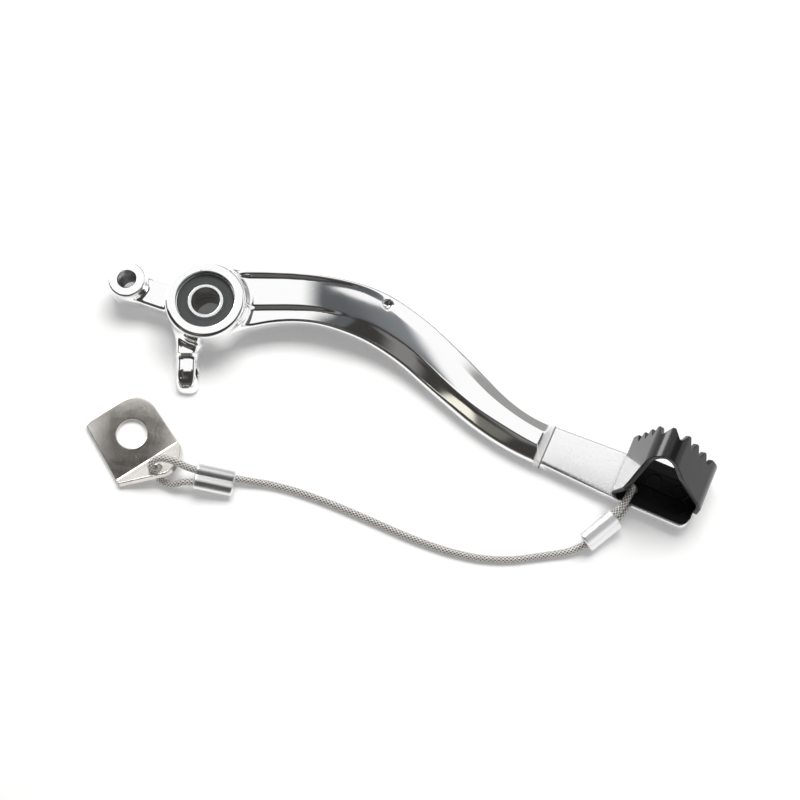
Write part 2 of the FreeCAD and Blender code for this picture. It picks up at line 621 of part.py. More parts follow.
def tooth_stations():
    """Middle of each gap between teeth with the outward normal there, on the strip's middle line."""
    corners = tip_corners()
    apex = corners[2]
    up = (corners[2] - corners[1]).normalize()
    down = (corners[3] - corners[2]).normalize()
    turn = up.getAngle(down)
    reach = TIP_CROWN_R * math.tan(turn / 2)
    centre = apex - up * reach + Vector(up.z, 0, -up.x) * TIP_CROWN_R
    half_arc = TIP_CROWN_R * turn / 2
    foot = corners[4]
    stations = []
    for index in range(2 * TIP_TOOTH_COUNT):
        run = (index - TIP_TOOTH_COUNT + 0.5) * TIP_TOOTH_PITCH
        if abs(run) <= half_arc:
            angle = math.atan2(up.z, up.x) + math.pi / 2 - turn / 2 - run / TIP_CROWN_R
            normal = Vector(math.cos(angle), 0, math.sin(angle))
            stations.append((centre + normal * TIP_CROWN_R, normal))
        elif run < 0:
            stations.append((apex - up * (reach + abs(run) - half_arc), Vector(-up.z, 0, up.x)))
        else:
            knee_left = (corners[3] - apex).Length - reach
            spot = apex + down * (reach + run - half_arc)
            if run - half_arc < knee_left - TIP_KNEE_R * 0.35:
                stations.append((spot, Vector(-down.z, 0, down.x)))
            else:
                drop = run - half_arc - knee_left
                stations.append((Vector(foot.x, 0, corners[3].z - drop), Vector(1, 0, 0)))
    return stations


def tip():
    """Folded and closed strip with teeth, trimmed lower edge, recess, bead and wire hole."""
    corners = tip_corners()
    strip = bent_strip(corners, [TIP_FOOT_R, TIP_CROWN_R, TIP_KNEE_R], TIP_SHEET)
    low = TIP_PLATE_LOWER
    high = TIP_TOOTH_TOP
    strip.translate(Vector(0, low, 0))
    body = strip.extrude(Vector(0, high - low, 0))
    far = TIP_LENGTH + TIP_SHEET + 10
    crown_x = corners[2].x + 1.4
    top = TIP_APEX_HEIGHT + 5

    def side_cut(points, x_from, x_to):
        face = polygon_face([Vector(x_from, y, z) for y, z in points])
        return face.extrude(Vector(x_to - x_from, 0, 0))

    crown_z = TIP_APEX_HEIGHT - TIP_TRIM_CROWN_DROP
    foot_z = TIP_APEX_HEIGHT * TIP_TRIM_FOOT_SHARE
    right_z = TIP_APEX_HEIGHT * TIP_TRIM_RIGHT_SHARE
    shoulder_z = TIP_APEX_HEIGHT * TIP_TRIM_SHOULDER_SHARE
    left_cut = side_cut([
        (low - 1, -1), (TIP_TRIM_FOOT, -1), (TIP_TRIM_FOOT, foot_z),
        (TIP_TRIM_FOOT + TIP_TRIM_FOOT_SET, foot_z + TIP_TRIM_FOOT_RISE), (TIP_TRIM_CROWN, crown_z),
        (TIP_TRIM_CROWN, top), (low - 1, top),
    ], -20, crown_x)
    right_cut = side_cut([
        (low - 1, -1), (TIP_TRIM_RIGHT, -1), (TIP_TRIM_RIGHT, right_z), (TIP_TRIM_SHOULDER, shoulder_z),
        (TIP_TRIM_CROWN, crown_z), (TIP_TRIM_CROWN, top), (low - 1, top),
    ], crown_x, far)
    foot_keep = Part.makeBox(far, 2 * far, TIP_SHEET, Vector(0.6, low - far, 0))
    body = body.cut(left_cut.cut(foot_keep)).cut(right_cut)
    for middle, normal in tooth_stations():
        tangent = Vector(normal.z, 0, -normal.x)
        half_top = (TIP_TOOTH_PITCH - TIP_TOOTH_FLAT) / 2
        spread = 1 + 1 / TIP_TOOTH_DEPTH
        half_low = TIP_VALLEY_FLAT / 2
        floor = high - TIP_TOOTH_DEPTH
        wide = half_low + (half_top - half_low) * spread
        start = middle - normal * (TIP_SHEET / 2 + 1.2)
        notch = polygon_face([
            start + tangent * half_low + Vector(0, floor, 0), start - tangent * half_low + Vector(0, floor, 0),
            start - tangent * wide + Vector(0, high + 1, 0), start + tangent * wide + Vector(0, high + 1, 0),
        ]).extrude(normal * (TIP_SHEET + 2.4))
        body = body.cut(notch)
    r = TIP_PLATE_CORNER_R
    k = r * (1 - math.sqrt(0.5))
    start_x = TIP_FOOT_LENGTH - 0.5
    plate_edges = [
        Part.makeLine(Vector(start_x, low, 0), Vector(TIP_LENGTH - r, low, 0)),
        Part.Arc(Vector(TIP_LENGTH - r, low, 0), Vector(TIP_LENGTH - k, low + k, 0),
                 Vector(TIP_LENGTH, low + r, 0)).toShape(),
        Part.makeLine(Vector(TIP_LENGTH, low + r, 0), Vector(TIP_LENGTH, TIP_PLATE_UPPER, 0)),
        Part.makeLine(Vector(TIP_LENGTH, TIP_PLATE_UPPER, 0), Vector(start_x, TIP_PLATE_UPPER, 0)),
        Part.makeLine(Vector(start_x, TIP_PLATE_UPPER, 0), Vector(start_x, low, 0)),
    ]
    body = body.fuse(Part.Face(Part.Wire(plate_edges)).extrude(Vector(0, 0, TIP_SHEET)))
    hole_x = WIRE_HOLE_ALONG
    hole_y = WIRE_HOLE_ACROSS
    floor = TIP_SHEET - TIP_RECESS_DEPTH
    slot = Part.makeBox(TIP_RECESS_LENGTH, 2 * TIP_RECESS_R, 2, Vector(hole_x, hole_y - TIP_RECESS_R, floor))
    for x in (hole_x, hole_x + TIP_RECESS_LENGTH):
        slot = slot.fuse(Part.makeCylinder(TIP_RECESS_R, 2, Vector(x, hole_y, floor)))
    body = body.cut(slot)
    body = body.cut(Part.makeCylinder(WIRE_HOLE_R, TIP_SHEET + 2, Vector(hole_x, hole_y, -1)))
    bead_r = (TIP_BEAD_R ** 2 + TIP_BEAD_HEIGHT ** 2) / (2 * TIP_BEAD_HEIGHT)
    bead_z = TIP_SHEET + TIP_BEAD_HEIGHT - bead_r
    bead = Part.makeCylinder(bead_r, TIP_BEAD_LENGTH, Vector(hole_x, TIP_BEAD_ACROSS, bead_z), Vector(1, 0, 0))
    above = Part.makeBox(60, 20, bead_r * 2, Vector(-5, TIP_BEAD_ACROSS - 10, TIP_SHEET - 0.4))
    body = body.fuse(bead.common(above))
    for index in range(len(SCREW_ALONG)):
        thread = SCREW_R + SCREW_THREAD_CLEARANCE
        spot = Vector(SCREW_ALONG[index], SCREW_ACROSS, -1)
        body = body.cut(Part.makeCylinder(thread, TIP_SHEET + 4, spot))
    body = body.removeSplitter()
    body.Placement = tip_frame()
    return body


def screws():
    """Countersunk screws, driven from the pad's back into the tip's plate."""
    parts = []
    length = PAD_TOP_Z - TABLE_Z + TIP_SHEET - SCREW_SINK - SCREW_TIP_GAP
    for index in range(len(SCREW_ALONG)):
        seat = screw_placement(index) + Vector(0, 0, SCREW_SINK)
        head = Part.makeCone(SCREW_HEAD_R, SCREW_R, SCREW_HEAD_HEIGHT, seat)
        shank = Part.makeCylinder(SCREW_R, length, seat)
        socket = polygon_face([
            seat + Vector(math.cos(math.radians(60 * k)), math.sin(math.radians(60 * k)), 0) * SCREW_SOCKET_R
            for k in range(6)
        ]).extrude(Vector(0, 0, SCREW_SOCKET_DEPTH))
        parts.append(head.fuse(shank).cut(socket).removeSplitter())
    return Part.makeCompound(parts)


def ferrule_body():
    """Crimped double-barrel sleeve about the origin: X along it, Y across its two bores."""
    half = FERRULE_LENGTH / 2
    offset = FERRULE_SPACING / 2
    axis = Vector(1, 0, 0)
    body = Part.makeBox(FERRULE_LENGTH, FERRULE_SPACING, 2 * FERRULE_WAIST,
                        Vector(-half, -offset, -FERRULE_WAIST))
    for side in (1, -1):
        body = body.fuse(Part.makeCylinder(FERRULE_R, FERRULE_LENGTH, Vector(-half, side * offset, 0), axis))
    for side in (1, -1):
        bore = WIRE_R + FERRULE_CLEARANCE
        body = body.cut(Part.makeCylinder(bore, FERRULE_LENGTH + 2, Vector(-half - 1, side * offset, 0), axis))
    return body.removeSplitter()


def tip_ferrule_frame():
    turn = FreeCAD.Rotation(Vector(0, 0, 1), TIP_FERRULE_HEADING_DEG)
    pitch = FreeCAD.Rotation(Vector(0, 1, 0), -TIP_FERRULE_PITCH_DEG)
    roll = FreeCAD.Rotation(Vector(1, 0, 0), TIP_FERRULE_ROLL_DEG + 180)
    place = Vector(TIP_FERRULE_X, TIP_FERRULE_Y, TIP_FERRULE_Z)
    return FreeCAD.Placement(place, turn.multiply(pitch).multiply(roll))


def anchor_ferrule_frame():
    turn = FreeCAD.Rotation(Vector(0, 0, 1), ANCHOR_FERRULE_HEADING_DEG)
    pitch = FreeCAD.Rotation(Vector(0, 1, 0), ANCHOR_FERRULE_PITCH_DEG)
    place = Vector(ANCHOR_FERRULE_X, ANCHOR_FERRULE_Y, ANCHOR_FERRULE_Z)
    return FreeCAD.Placement(place, turn.multiply(pitch))


def wire_points():
    """Corner points of the wire's route, from its end in the tip ferrule to its end in the anchor's."""
    half = FERRULE_LENGTH / 2
    side = FERRULE_SPACING / 2
    near = tip_ferrule_frame()
    hole = tip_frame().multVec(Vector(WIRE_HOLE_ALONG, WIRE_HOLE_ACROSS, 0))
    points = [
        near.multVec(Vector(-half, -side, 0)), near.multVec(Vector(half + WIRE_EXIT, -side, 0)),
        Vector(hole.x, hole.y, WIRE_OVER_Z), Vector(hole.x, hole.y, WIRE_UNDER_Z),
        near.multVec(Vector(half + WIRE_EXIT, side, 0)), near.multVec(Vector(-half - WIRE_EXIT, side, 0)),
    ]
    ground = TABLE_Z + WIRE_R
    points += [Vector(x, y, ground) for x, y in WIRE_RUN]
    anchor = anchor_ferrule_frame()
    points += [anchor.multVec(Vector(half + WIRE_EXIT, side, 0)), anchor.multVec(Vector(-half - WIRE_EXIT, side, 0))]
    points += [Vector(x, y, z) for x, y, z in WIRE_ANCHOR_LOOP]
    points += [anchor.multVec(Vector(-half - WIRE_EXIT, -side, 0)), anchor.multVec(Vector(half, -side, 0))]
    return points


def wire():
    """Round wire along straight runs joined by arcs as large as the runs allow."""
    points = wire_points()
    path, radii = wire_path(points)
    first = (points[1] - points[0]).normalize()
    section = Part.Wire([Part.makeCircle(WIRE_R, points[0], first)])
    body = path.makePipeShell([section], True, False)
    print("wire radii", radii, "length", round(path.Length, 1))
    ratio = body.Volume / (math.pi * WIRE_R ** 2 * path.Length)
    print("wire volume over section times length", round(ratio, 4))
    return body


def wire_path(points):
    """Wire of straight runs and tangent arcs through a route's corner points, and the arcs' radii."""
    edges = []
    radii = []
    start = points[0]
    for i in range(1, len(points) - 1):
        before = points[i] - points[i - 1]
        after = points[i + 1] - points[i]
        reach = 0.45 * min(before.Length, after.Length)
        before.normalize()
        after.normalize()
        turn = before.getAngle(after)
        radius = reach / math.tan(turn / 2)
        radii.append(round(radius, 1))
        arc_start = points[i] - before * reach
        arc_end = points[i] + after * reach
        inward = (after - before).normalize()
        middle = points[i] + inward * (radius / math.cos(turn / 2) - radius)
        edges.append(Part.makeLine(start, arc_start))
        edges.append(Part.Arc(arc_start, middle, arc_end).toShape())
        start = arc_end
    edges.append(Part.makeLine(start, points[-1]))
    return Part.Wire(edges), radii


def bracket():
    """Flat plate with one large and one small rounded corner, and an ear bent up along its lower edge."""
    t = BRACKET_THICKNESS
    w = BRACKET_HALF_WIDTH
    bend = math.radians(EAR_ANGLE_DEG)
    setback = EAR_BEND_R * math.tan(bend / 2)
    bend_y = setback - BRACKET_BEND
    top = BRACKET_TOP
    big = BRACKET_BIG_CORNER_R
    small = BRACKET_SMALL_CORNER_R
    k = 1 - math.sqrt(0.5)
    left_w = w + BRACKET_FLARE
    outline = Part.Wire([
        Part.makeLine(Vector(-left_w, bend_y, 0), Vector(w, bend_y, 0)),
        Part.makeLine(Vector(w, bend_y, 0), Vector(w, top - big, 0)),
        Part.Arc(Vector(w, top - big, 0), Vector(w - big * k, top - big * k, 0),
                 Vector(w - big, top, 0)).toShape(),
        Part.makeLine(Vector(w - big, top, 0), Vector(small - w, top, 0)),
        Part.Arc(Vector(small - w, top, 0), Vector(small * k - w, top - small * k, 0),
                 Vector(-w, top - small, 0)).toShape(),
        Part.makeLine(Vector(-w, top - small, 0), Vector(-left_w, bend_y, 0)),
    ])
    plate = Part.Face(outline).extrude(Vector(0, 0, t))
    edge_face = polygon_face([Vector(-left_w, bend_y, 0), Vector(w, bend_y, 0),
                              Vector(w, bend_y, t), Vector(-left_w, bend_y, t)])
    knee = edge_face.revolve(Vector(0, bend_y, t + EAR_BEND_R), Vector(-1, 0, 0), EAR_ANGLE_DEG)
    left = Vector(-left_w, EAR_LEFT_SIDE, 0)
    right = Vector(w, EAR_RIGHT_SIDE, 0)
    peak = Vector(EAR_PEAK, EAR_DEPTH, 0)
    peak_left = peak + (left - peak).normalize() * EAR_PEAK_ROUND
    right_mid = (right + peak) * 0.5 + Vector(0.7, 0.71, 0) * EAR_RIGHT_BULGE
    right_arc = Part.Arc(peak, right_mid, right)
    peak_right = right_arc.value(right_arc.parameter(peak + Vector(1, -0.2, 0) * EAR_PEAK_ROUND))
    blend_mid = peak + (peak_left + peak_right - peak * 2) * 0.28
    ear_outline = Part.Wire([
        Part.makeLine(Vector(-left_w, setback, 0), left),
        Part.makeLine(left, peak_left), Part.Arc(peak_left, blend_mid, peak_right).toShape(),
        Part.Arc(peak_right, right_mid, right).toShape(), Part.makeLine(right, Vector(w, setback, 0)),
        Part.makeLine(Vector(w, setback, 0), Vector(-left_w, setback, 0)),
    ])
    ear = Part.Face(ear_outline).extrude(Vector(0, 0, t))
    ear = ear.cut(Part.makeCylinder(EAR_HOLE_R, t + 2, Vector(EAR_HOLE_SIDE, EAR_HOLE_UP, -1)))
    ear = ear.mirror(Vector(0, 0, 0), Vector(0, 1, 0))
    ear.rotate(Vector(0, 0, t), Vector(1, 0, 0), -EAR_ANGLE_DEG)
    ear.translate(Vector(0, -BRACKET_BEND, 0))
    hole = Part.makeCylinder(BRACKET_HOLE_R, t + 2, Vector(0, 0, -1))
    body = plate.fuse([knee, ear]).cut(hole).removeSplitter()
    place = Vector(BRACKET_HOLE_X, BRACKET_HOLE_Y, TABLE_Z)
    body.Placement = FreeCAD.Placement(place, FreeCAD.Rotation(Vector(0, 0, 1), BRACKET_HEADING_DEG))
    return body


def main():
    os.makedirs("parts", exist_ok=True)
    nodes = {"lever": lever()}
    for label, centre_z in (("front", FRONT_BEARING_Z), ("rear", REAR_BEARING_Z)):
        for name, shape in bearing_parts(centre_z).items():
            nodes[label + "_bearing_" + name] = shape
    half_gap = BEARING_GAP / 2
    nodes["inner_spacer"] = ring(BORE_R, INNER_SPACER_R, -half_gap, half_gap)
    nodes["outer_spacer"] = ring(BEARING_OUTER_R - OUTER_SPACER_WALL, BEARING_OUTER_R, -half_gap, half_gap)
    nodes["circlip"] = circlip()
    nodes["toe_tip"] = tip()
    nodes["tip_screws"] = screws()
    nodes["tether_wire"] = wire()
    nodes["tip_ferrule"] = ferrule_body()
    nodes["tip_ferrule"].Placement = tip_ferrule_frame()
    nodes["anchor_ferrule"] = ferrule_body()
    nodes["anchor_ferrule"].Placement = anchor_ferrule_frame()
    nodes["anchor_bracket"] = bracket()
    for name, shape in nodes.items():
        shape.exportStep(os.path.join("parts", name + ".step"))
        solids = shape.Solids
        print(name, len(solids), round(shape.Volume, 1), shape.isValid())


main()
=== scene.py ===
import math

import bpy
import numpy as np
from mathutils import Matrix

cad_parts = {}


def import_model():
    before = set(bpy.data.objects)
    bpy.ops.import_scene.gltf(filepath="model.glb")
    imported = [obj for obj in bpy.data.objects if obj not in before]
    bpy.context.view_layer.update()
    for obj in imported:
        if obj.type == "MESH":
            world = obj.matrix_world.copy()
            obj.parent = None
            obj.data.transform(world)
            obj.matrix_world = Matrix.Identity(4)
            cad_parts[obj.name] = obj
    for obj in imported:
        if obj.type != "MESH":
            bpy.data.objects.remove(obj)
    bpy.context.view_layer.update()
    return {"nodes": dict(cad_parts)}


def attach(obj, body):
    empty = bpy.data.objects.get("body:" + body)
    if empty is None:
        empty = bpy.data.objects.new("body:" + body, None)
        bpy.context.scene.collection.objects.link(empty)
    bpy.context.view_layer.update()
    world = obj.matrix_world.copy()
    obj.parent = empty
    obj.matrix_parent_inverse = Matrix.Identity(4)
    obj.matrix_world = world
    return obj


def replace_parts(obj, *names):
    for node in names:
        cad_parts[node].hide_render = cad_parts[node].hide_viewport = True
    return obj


# Looks of the brake pedal. Sizes are millimetres in the part's own frame: the origin is the middle of the
# pivot bore, +Z runs out of the visible face and +X towards the toe. Meshes are scaled to metres at the end.
MM = 0.001

# The arm's centre line: straight, clockwise bend, straight, counter-clockwise bend, straight
START_Y = 3.2
LEAD = 27.2
BEND_1_R = 75.0
BEND_1 = math.radians(43.0)
MIDDLE = 23.8
BEND_2_R = 90.0
BEND_2 = math.radians(19.0)
PAD_START = LEAD + BEND_1 * BEND_1_R + MIDDLE + BEND_2 * BEND_2_R
PAD_END = PAD_START + 55.4
PAD_HEADING = BEND_2 - BEND_1
MIDDLE_WAY = np.array((math.cos(BEND_1), -math.sin(BEND_1)))
PAD_WAY = np.array((math.cos(PAD_HEADING), math.sin(PAD_HEADING)))
ARM_END = 134.8
PAD_LAP = 2.4
PAD_TOP = -3.5
GROUND = -9.5

# Hub and push-rod boss
HUB_R = 14.4
HUB_TOP = 9.5
HUB_EDGE = 1.5
SEAT_R = 11.0
BOSS_AT = (-29.0, 9.6)
BOSS_HOLE_R = 3.5

# Places on the toe tip, along and across the pad from the tip's left foot
WIRE_HOLE_U = 5.5
SLOT_V = -3.2
SCREW_SPOTS = (11.5, 21.5)
SCREW_V = 2.1

# Forged section of the arm. Columns: distance along, then lower edge, step foot, lower crease, upper crease,
# rim shelf and upper edge across the centre line, then the heights of the same six creases.
ARM_ROWS = np.array([
    (2, -11.8, -4.64, -3.56, 7.2, 8.2, 9.9, 2.4, 2.4, 4, 4, 5.5, 5.5),
    (14, -11.2, -4.64, -3.56, 7.2, 8.2, 9.9, 2.4, 2.4, 4, 4, 5.5, 5.5),
    (22, -9.7, -4.54, -3.46, 7.1, 8.1, 9.7, 2.4, 2.4, 4, 4, 5.5, 5.5),
    (32, -8.9, -4.44, -3.36, 6.89, 7.8, 9.2, 2.4, 2.4, 4, 4, 5.4, 5.4),
    (42, -8.8, -3.94, -2.96, 6.99, 7.9, 9.3, 2.4, 2.7, 3.9, 3.9, 5, 5),
    (52, -9, -3.94, -2.46, 7.38, 8.6, 9.8, 1.8, 3, 3.5, 3.5, 4.2, 4.2),
    (61, -8.9, -3.96, -2.44, 6.42, 9, 10.4, 0.6, 2.2, 2.8, 2.8, 2.9, 2.6),
    (70, -8.9, -4.19, -2.61, 4.7, 8.2, 10.1, -0.8, 1.1, 1.8, 1.8, 1.3, 1),
    (82, -8.7, -4.2, -2.7, 4.7, 8, 9.9, -2.4, -0.3, 0.5, 0.5, -0.5, -1),
    (94, -8.6, -4.5, -3.1, 4.5, 7.9, 9.7, -3.5, -1.1, -0.3, -0.3, -1.6, -2.3),
    (106, -8.4, -4.5, -3.1, 3.9, 7.3, 8.9, -3.9, -1.3, -0.5, -0.5, -2.2, -2.9),
    (120, -8.1, -3.8, -2.4, 3.4, 6.2, 7.6, -4, -1.3, -0.5, -0.5, -2.4, -3.1),
    (128, -8, -3.9, -2.5, 3, 5.8, 7.2, -4, -1.3, -0.5, -0.5, -2.4, -3.2),
    (134.8, -7.9, -4.2, -2.8, 2.7, 5.7, 7.2, -4, -1.4, -0.5, -0.5, -2.3, -3.2),
])
CREASE_SOFTNESS = (0.3, 0.3, 0.35, 0.3)

# The wire's route: corner points of its line, the same as the solid's
WIRE_ROUTE = [
    (132.16, -84.36, -3.16), (144.83, -74.67, -0.34), (149.71, -66.07, 0.7), (149.71, -66.07, -6.3),
    (146.32, -75.61, -3.83), (131.77, -86.73, -7.06), (119.0, -88.6, -8.2), (104.5, -90.5, -8.2),
    (89.5, -88.4, -8.2), (73.5, -82.8, -8.2), (56.5, -75.0, -8.2), (40.5, -68.2, -8.2),
    (25.5, -63.3, -8.2), (13.29, -61.7, -7.23), (-4.66, -58.76, -3.37), (-8.6, -57.2, 0.5),
    (-15.0, -55.4, 0.3), (-18.5, -57.8, -0.7), (-15.8, -61.8, -7.8), (-10.4, -64.0, -6.6),
    (-5.29, -62.6, -3.37), (10.35, -65.17, -6.73),
]
WIRE_R = 1.3


def ramp(value, softness):
    """Zero below nought and the value itself above, with the kink rounded off."""
    return 0.5 * (value + np.sqrt(value * value + softness * softness))


def blend_union(a, b, width):
    """Smaller of two distances, with a fillet where they meet."""
    near = np.maximum(width - np.abs(a - b), 0) / width
    return np.minimum(a, b) - near * near * width / 4


def blend_cut(a, b, width):
    """Larger of two distances, with the edge where they meet rounded off."""
    near = np.maximum(width - np.abs(a - b), 0) / width
    return np.maximum(a, b) + near * near * width / 4


def ease(value, start, end):
    """Rises from 0 at start to 1 at end with level ends."""
    t = np.clip((value - start) / (end - start), 0, 1)
    return t * t * (3 - 2 * t)


def cubic_through(knots, values):
    """Second derivatives of the natural cubic through the rows of values at the knots."""
    gap = np.diff(knots)
    count = len(knots)
    matrix = np.eye(count)
    right = np.zeros_like(values)
    inner = np.arange(1, count - 1)
    matrix[inner, inner - 1] = gap[:-1] / 6
    matrix[inner, inner] = (gap[:-1] + gap[1:]) / 3
    matrix[inner, inner + 1] = gap[1:] / 6
    slope = np.diff(values, axis=0) / gap[:, None]
    right[1:-1] = slope[1:] - slope[:-1]
    return np.linalg.solve(matrix, right)


ROW_BENDS = cubic_through(ARM_ROWS[:, 0], ARM_ROWS[:, 1:])


def arm_rows_at(along):
    """The twelve section values at any distance along the arm, smooth from row to row."""
    knots = ARM_ROWS[:, 0]
    values = ARM_ROWS[:, 1:]
    along = np.clip(along, knots[0], knots[-1])
    i = np.clip(np.searchsorted(knots, along) - 1, 0, len(knots) - 2)
    gap = knots[i + 1] - knots[i]
    a = (knots[i + 1] - along) / gap
    b = 1 - a
    bow_a = (a ** 3 - a) * gap * gap / 6
    bow_b = (b ** 3 - b) * gap * gap / 6
    return [a * values[i, k] + b * values[i + 1, k] + bow_a * ROW_BENDS[i, k] + bow_b * ROW_BENDS[i + 1, k]
            for k in range(12)]


def bend_joints():
    """Starts of the middle straight and of the pad's straight, and the second bend's centre."""
    first = np.array((LEAD, START_Y))
    second = first + BEND_1_R * np.array((math.sin(BEND_1), math.cos(BEND_1) - 1))
    centre = second + MIDDLE * MIDDLE_WAY + BEND_2_R * np.array((math.sin(BEND_1), math.cos(BEND_1)))
    fourth = centre + BEND_2_R * np.array((math.sin(PAD_HEADING), -math.cos(PAD_HEADING)))
    return second, fourth, centre


MIDDLE_FROM, PAD_FROM, BEND_2_CENTRE = bend_joints()


def past_joint(x, y, joint, way):
    """Run of points along a straight line from its start, and how far they lie to its left."""
    dx = x - joint[0]
    dy = y - joint[1]
    return dx * way[0] + dy * way[1], dy * way[0] - dx * way[1]


def along_and_across(x, y):
    """Distance along the centre line and across it, of points near the arm."""
    dx = x - LEAD
    dy = y - START_Y + BEND_1_R
    along = np.where(dx > 0, LEAD + BEND_1_R * np.arctan2(dx, dy), x + 0 * y)
    across = np.where(dx > 0, np.hypot(dx, dy) - BEND_1_R, y - START_Y + 0 * x)
    run, off = past_joint(x, y, MIDDLE_FROM, MIDDLE_WAY)
    start = LEAD + BEND_1 * BEND_1_R
    along = np.where(run > 0, start + run, along)
    across = np.where(run > 0, off, across)
    back = run > MIDDLE
    dx = x - BEND_2_CENTRE[0]
    dy = y - BEND_2_CENTRE[1]
    along = np.where(back, start + MIDDLE + BEND_2_R * (np.arctan2(dx, -dy) + BEND_1), along)
    across = np.where(back, BEND_2_R - np.hypot(dx, dy), across)
    run, off = past_joint(x, y, PAD_FROM, PAD_WAY)
    last = (run > 0) & back
    return np.where(last, PAD_START + run, along), np.where(last, off, across)


def pad_point(along, across):
    """Point of the toe pad, by its distance along the centre line and across it."""
    return PAD_FROM + PAD_WAY * (along - PAD_START) + np.array((-PAD_WAY[1], PAD_WAY[0])) * across


TIP_ORIGIN = np.append(pad_point(165.0, 0.0), PAD_TOP)


def turned(axis, degrees):
    """Rotation matrix about X, Y or Z."""
    c = math.cos(math.radians(degrees))
    s = math.sin(math.radians(degrees))
    return {
        "x": np.array(((1, 0, 0), (0, c, -s), (0, s, c))),
        "y": np.array(((c, 0, s), (0, 1, 0), (-s, 0, c))),
        "z": np.array(((c, -s, 0), (s, c, 0), (0, 0, 1))),
    }[axis]


TIP_TURN = turned("z", math.degrees(PAD_HEADING))


# The forged lever as one smooth field: the distance to its skin, negative inside

def arm_field(along, across, z):
    """Arm: a top that follows six creases, side walls, and the slope down to the toe pad."""
    rows = arm_rows_at(along)
    spots = rows[:6]
    heights = rows[6:]
    slopes = [(heights[i + 1] - heights[i]) / (spots[i + 1] - spots[i]) for i in range(5)]
    top = heights[0] + slopes[0] * (across - spots[0])
    slope = slopes[0] + 0 * across
    for i in range(1, 5):
        softness = CREASE_SOFTNESS[i - 1]
        change = slopes[i] - slopes[i - 1]
        offset = across - spots[i]
        top = top + change * ramp(offset, softness)
        slope = slope + change * 0.5 * (1 + offset / np.sqrt(offset * offset + softness * softness))
    face = (z - top) / np.sqrt(1 + slope * slope)
    field = blend_cut(face, across - spots[5], 1.1)
    field = blend_cut(field, spots[0] - across, 1.3)
    drop = ((along - ARM_END) * 3.1 + (z + 0.5) * 2.4) / math.hypot(3.1, 2.4)
    field = blend_cut(field, drop, 0.6)
    return np.maximum(field, 1.0 - along)


def rounded_corner(u, v):
    """Distance to the corner where both values are negative, round outside it."""
    return np.minimum(np.maximum(u, v), 0) + np.hypot(np.maximum(u, 0), np.maximum(v, 0))


def pad_field(along, across, z):
    """Toe pad: tapered slab with rounded end corners and softened top edges."""
    half = np.minimum(7.4 + (along - PAD_START + PAD_LAP) * 1.6 / 36.4, 9.0)
    corner = 3.0
    outline = rounded_corner(along - (PAD_END - corner), np.abs(across) - (half - corner)) - corner
    field = blend_cut(z - PAD_TOP, outline, 1.5)
    return np.maximum(field, PAD_START - PAD_LAP - along)


def lug_field(x, y, z):
    """Spring ear: a slab with a rounded nose, and a higher root where it meets the hub."""
    nose = rounded_corner(-22.0 - y, z + 9.4) - 7.5
    flank = np.abs(x + 7.15) - 3.85
    ear = blend_cut(nose, flank, 3.2)
    root = blend_cut(np.maximum(z - 0.2, -17.2 - y), flank, 2.4)
    both = np.maximum(blend_union(ear, root, 1.6), y + 9)
    hole = np.hypot(y + 22.8, z + 5.6) - 2.2
    return blend_cut(both, -hole, 0.5)


def boss_field(x, y, z):
    """Push-rod boss, and the web that carries it and narrows away from the hub."""
    boss = rounded_corner(np.hypot(x - BOSS_AT[0], y - BOSS_AT[1]) - 5.9, np.abs(z + 1.0) - 4.6) - 0.9
    reach = math.hypot(*BOSS_AT)
    run, off = past_joint(x, y, (0, 0), (BOSS_AT[0] / reach, BOSS_AT[1] / reach))
    half = 5.7 - 0.8 * np.clip(run / reach, 0, 1)
    web = blend_cut(np.abs(off - 0.7) - half, np.abs(z + 2.5) - 3.5, 1.4)
    web = np.maximum(web, np.maximum(run - reach, 6 - run))
    return np.maximum(blend_union(boss, web, 2.4), -6.5 - z)


def lever_field(x, y, z):
    """Whole forging: hub, arm, pad, push-rod boss and spring ear blended together, less its bores."""
    along, across = along_and_across(x, y)
    radius = np.hypot(x, y)
    body = rounded_corner(radius - (HUB_R - HUB_EDGE), z - (HUB_TOP - HUB_EDGE)) - HUB_EDGE
    body = blend_union(body, arm_field(along, across, z), 3.6)
    body = blend_union(body, pad_field(along, across, z), 0.7)
    body = blend_union(body, boss_field(x, y, z), 2.6)
    body = blend_union(body, lug_field(x, y, z), 3.2)
    # the back is level, and reaches lower under the hub, the pad and the spring ear
    lower = 0.5 * (1 - ease(radius, 14.8, 16.2)) + 0.5 * ease(along, ARM_END - 0.6, ARM_END + 0.4)
    lower = np.maximum(lower, 0.5 * ease(-y, 15.0, 16.5) * (x < 0))
    body = blend_cut(body, -9.0 - lower - z, 1.3)
    seat = np.maximum(radius - SEAT_R, z - 7.6)
    mouth = np.maximum(radius - 10.8, 6.0 - z)
    groove = np.maximum(radius - 11.6, np.abs(z + 8.1) - 0.62)
    rod_hole = np.hypot(x - BOSS_AT[0], y - BOSS_AT[1]) - BOSS_HOLE_R
    for hole in (seat, mouth, groove, rod_hole):
        body = np.maximum(body, -hole)
    dimple = np.hypot(along - 63.2, across - 6.4)
    body = blend_cut(body, -np.maximum(dimple - 1.8, 1.3 + 0.6 * dimple - z), 0.3)
    u, v = past_joint(x, y, TIP_ORIGIN, PAD_WAY)
    notch = np.hypot(u - WIRE_HOLE_U, np.maximum(v + 2.2, 0)) - 1.7
    body = blend_cut(body, -np.maximum(notch, -7.9 - z), 0.3)
    for spot in SCREW_SPOTS:
        gap = np.hypot(u - spot, v - SCREW_V)
        sink = np.maximum(gap - 4.65 + np.maximum(z + 9.3, 0) * 0.86, z + 6.8)
        body = np.maximum(np.maximum(body, 2.75 - gap), -sink)
    return body


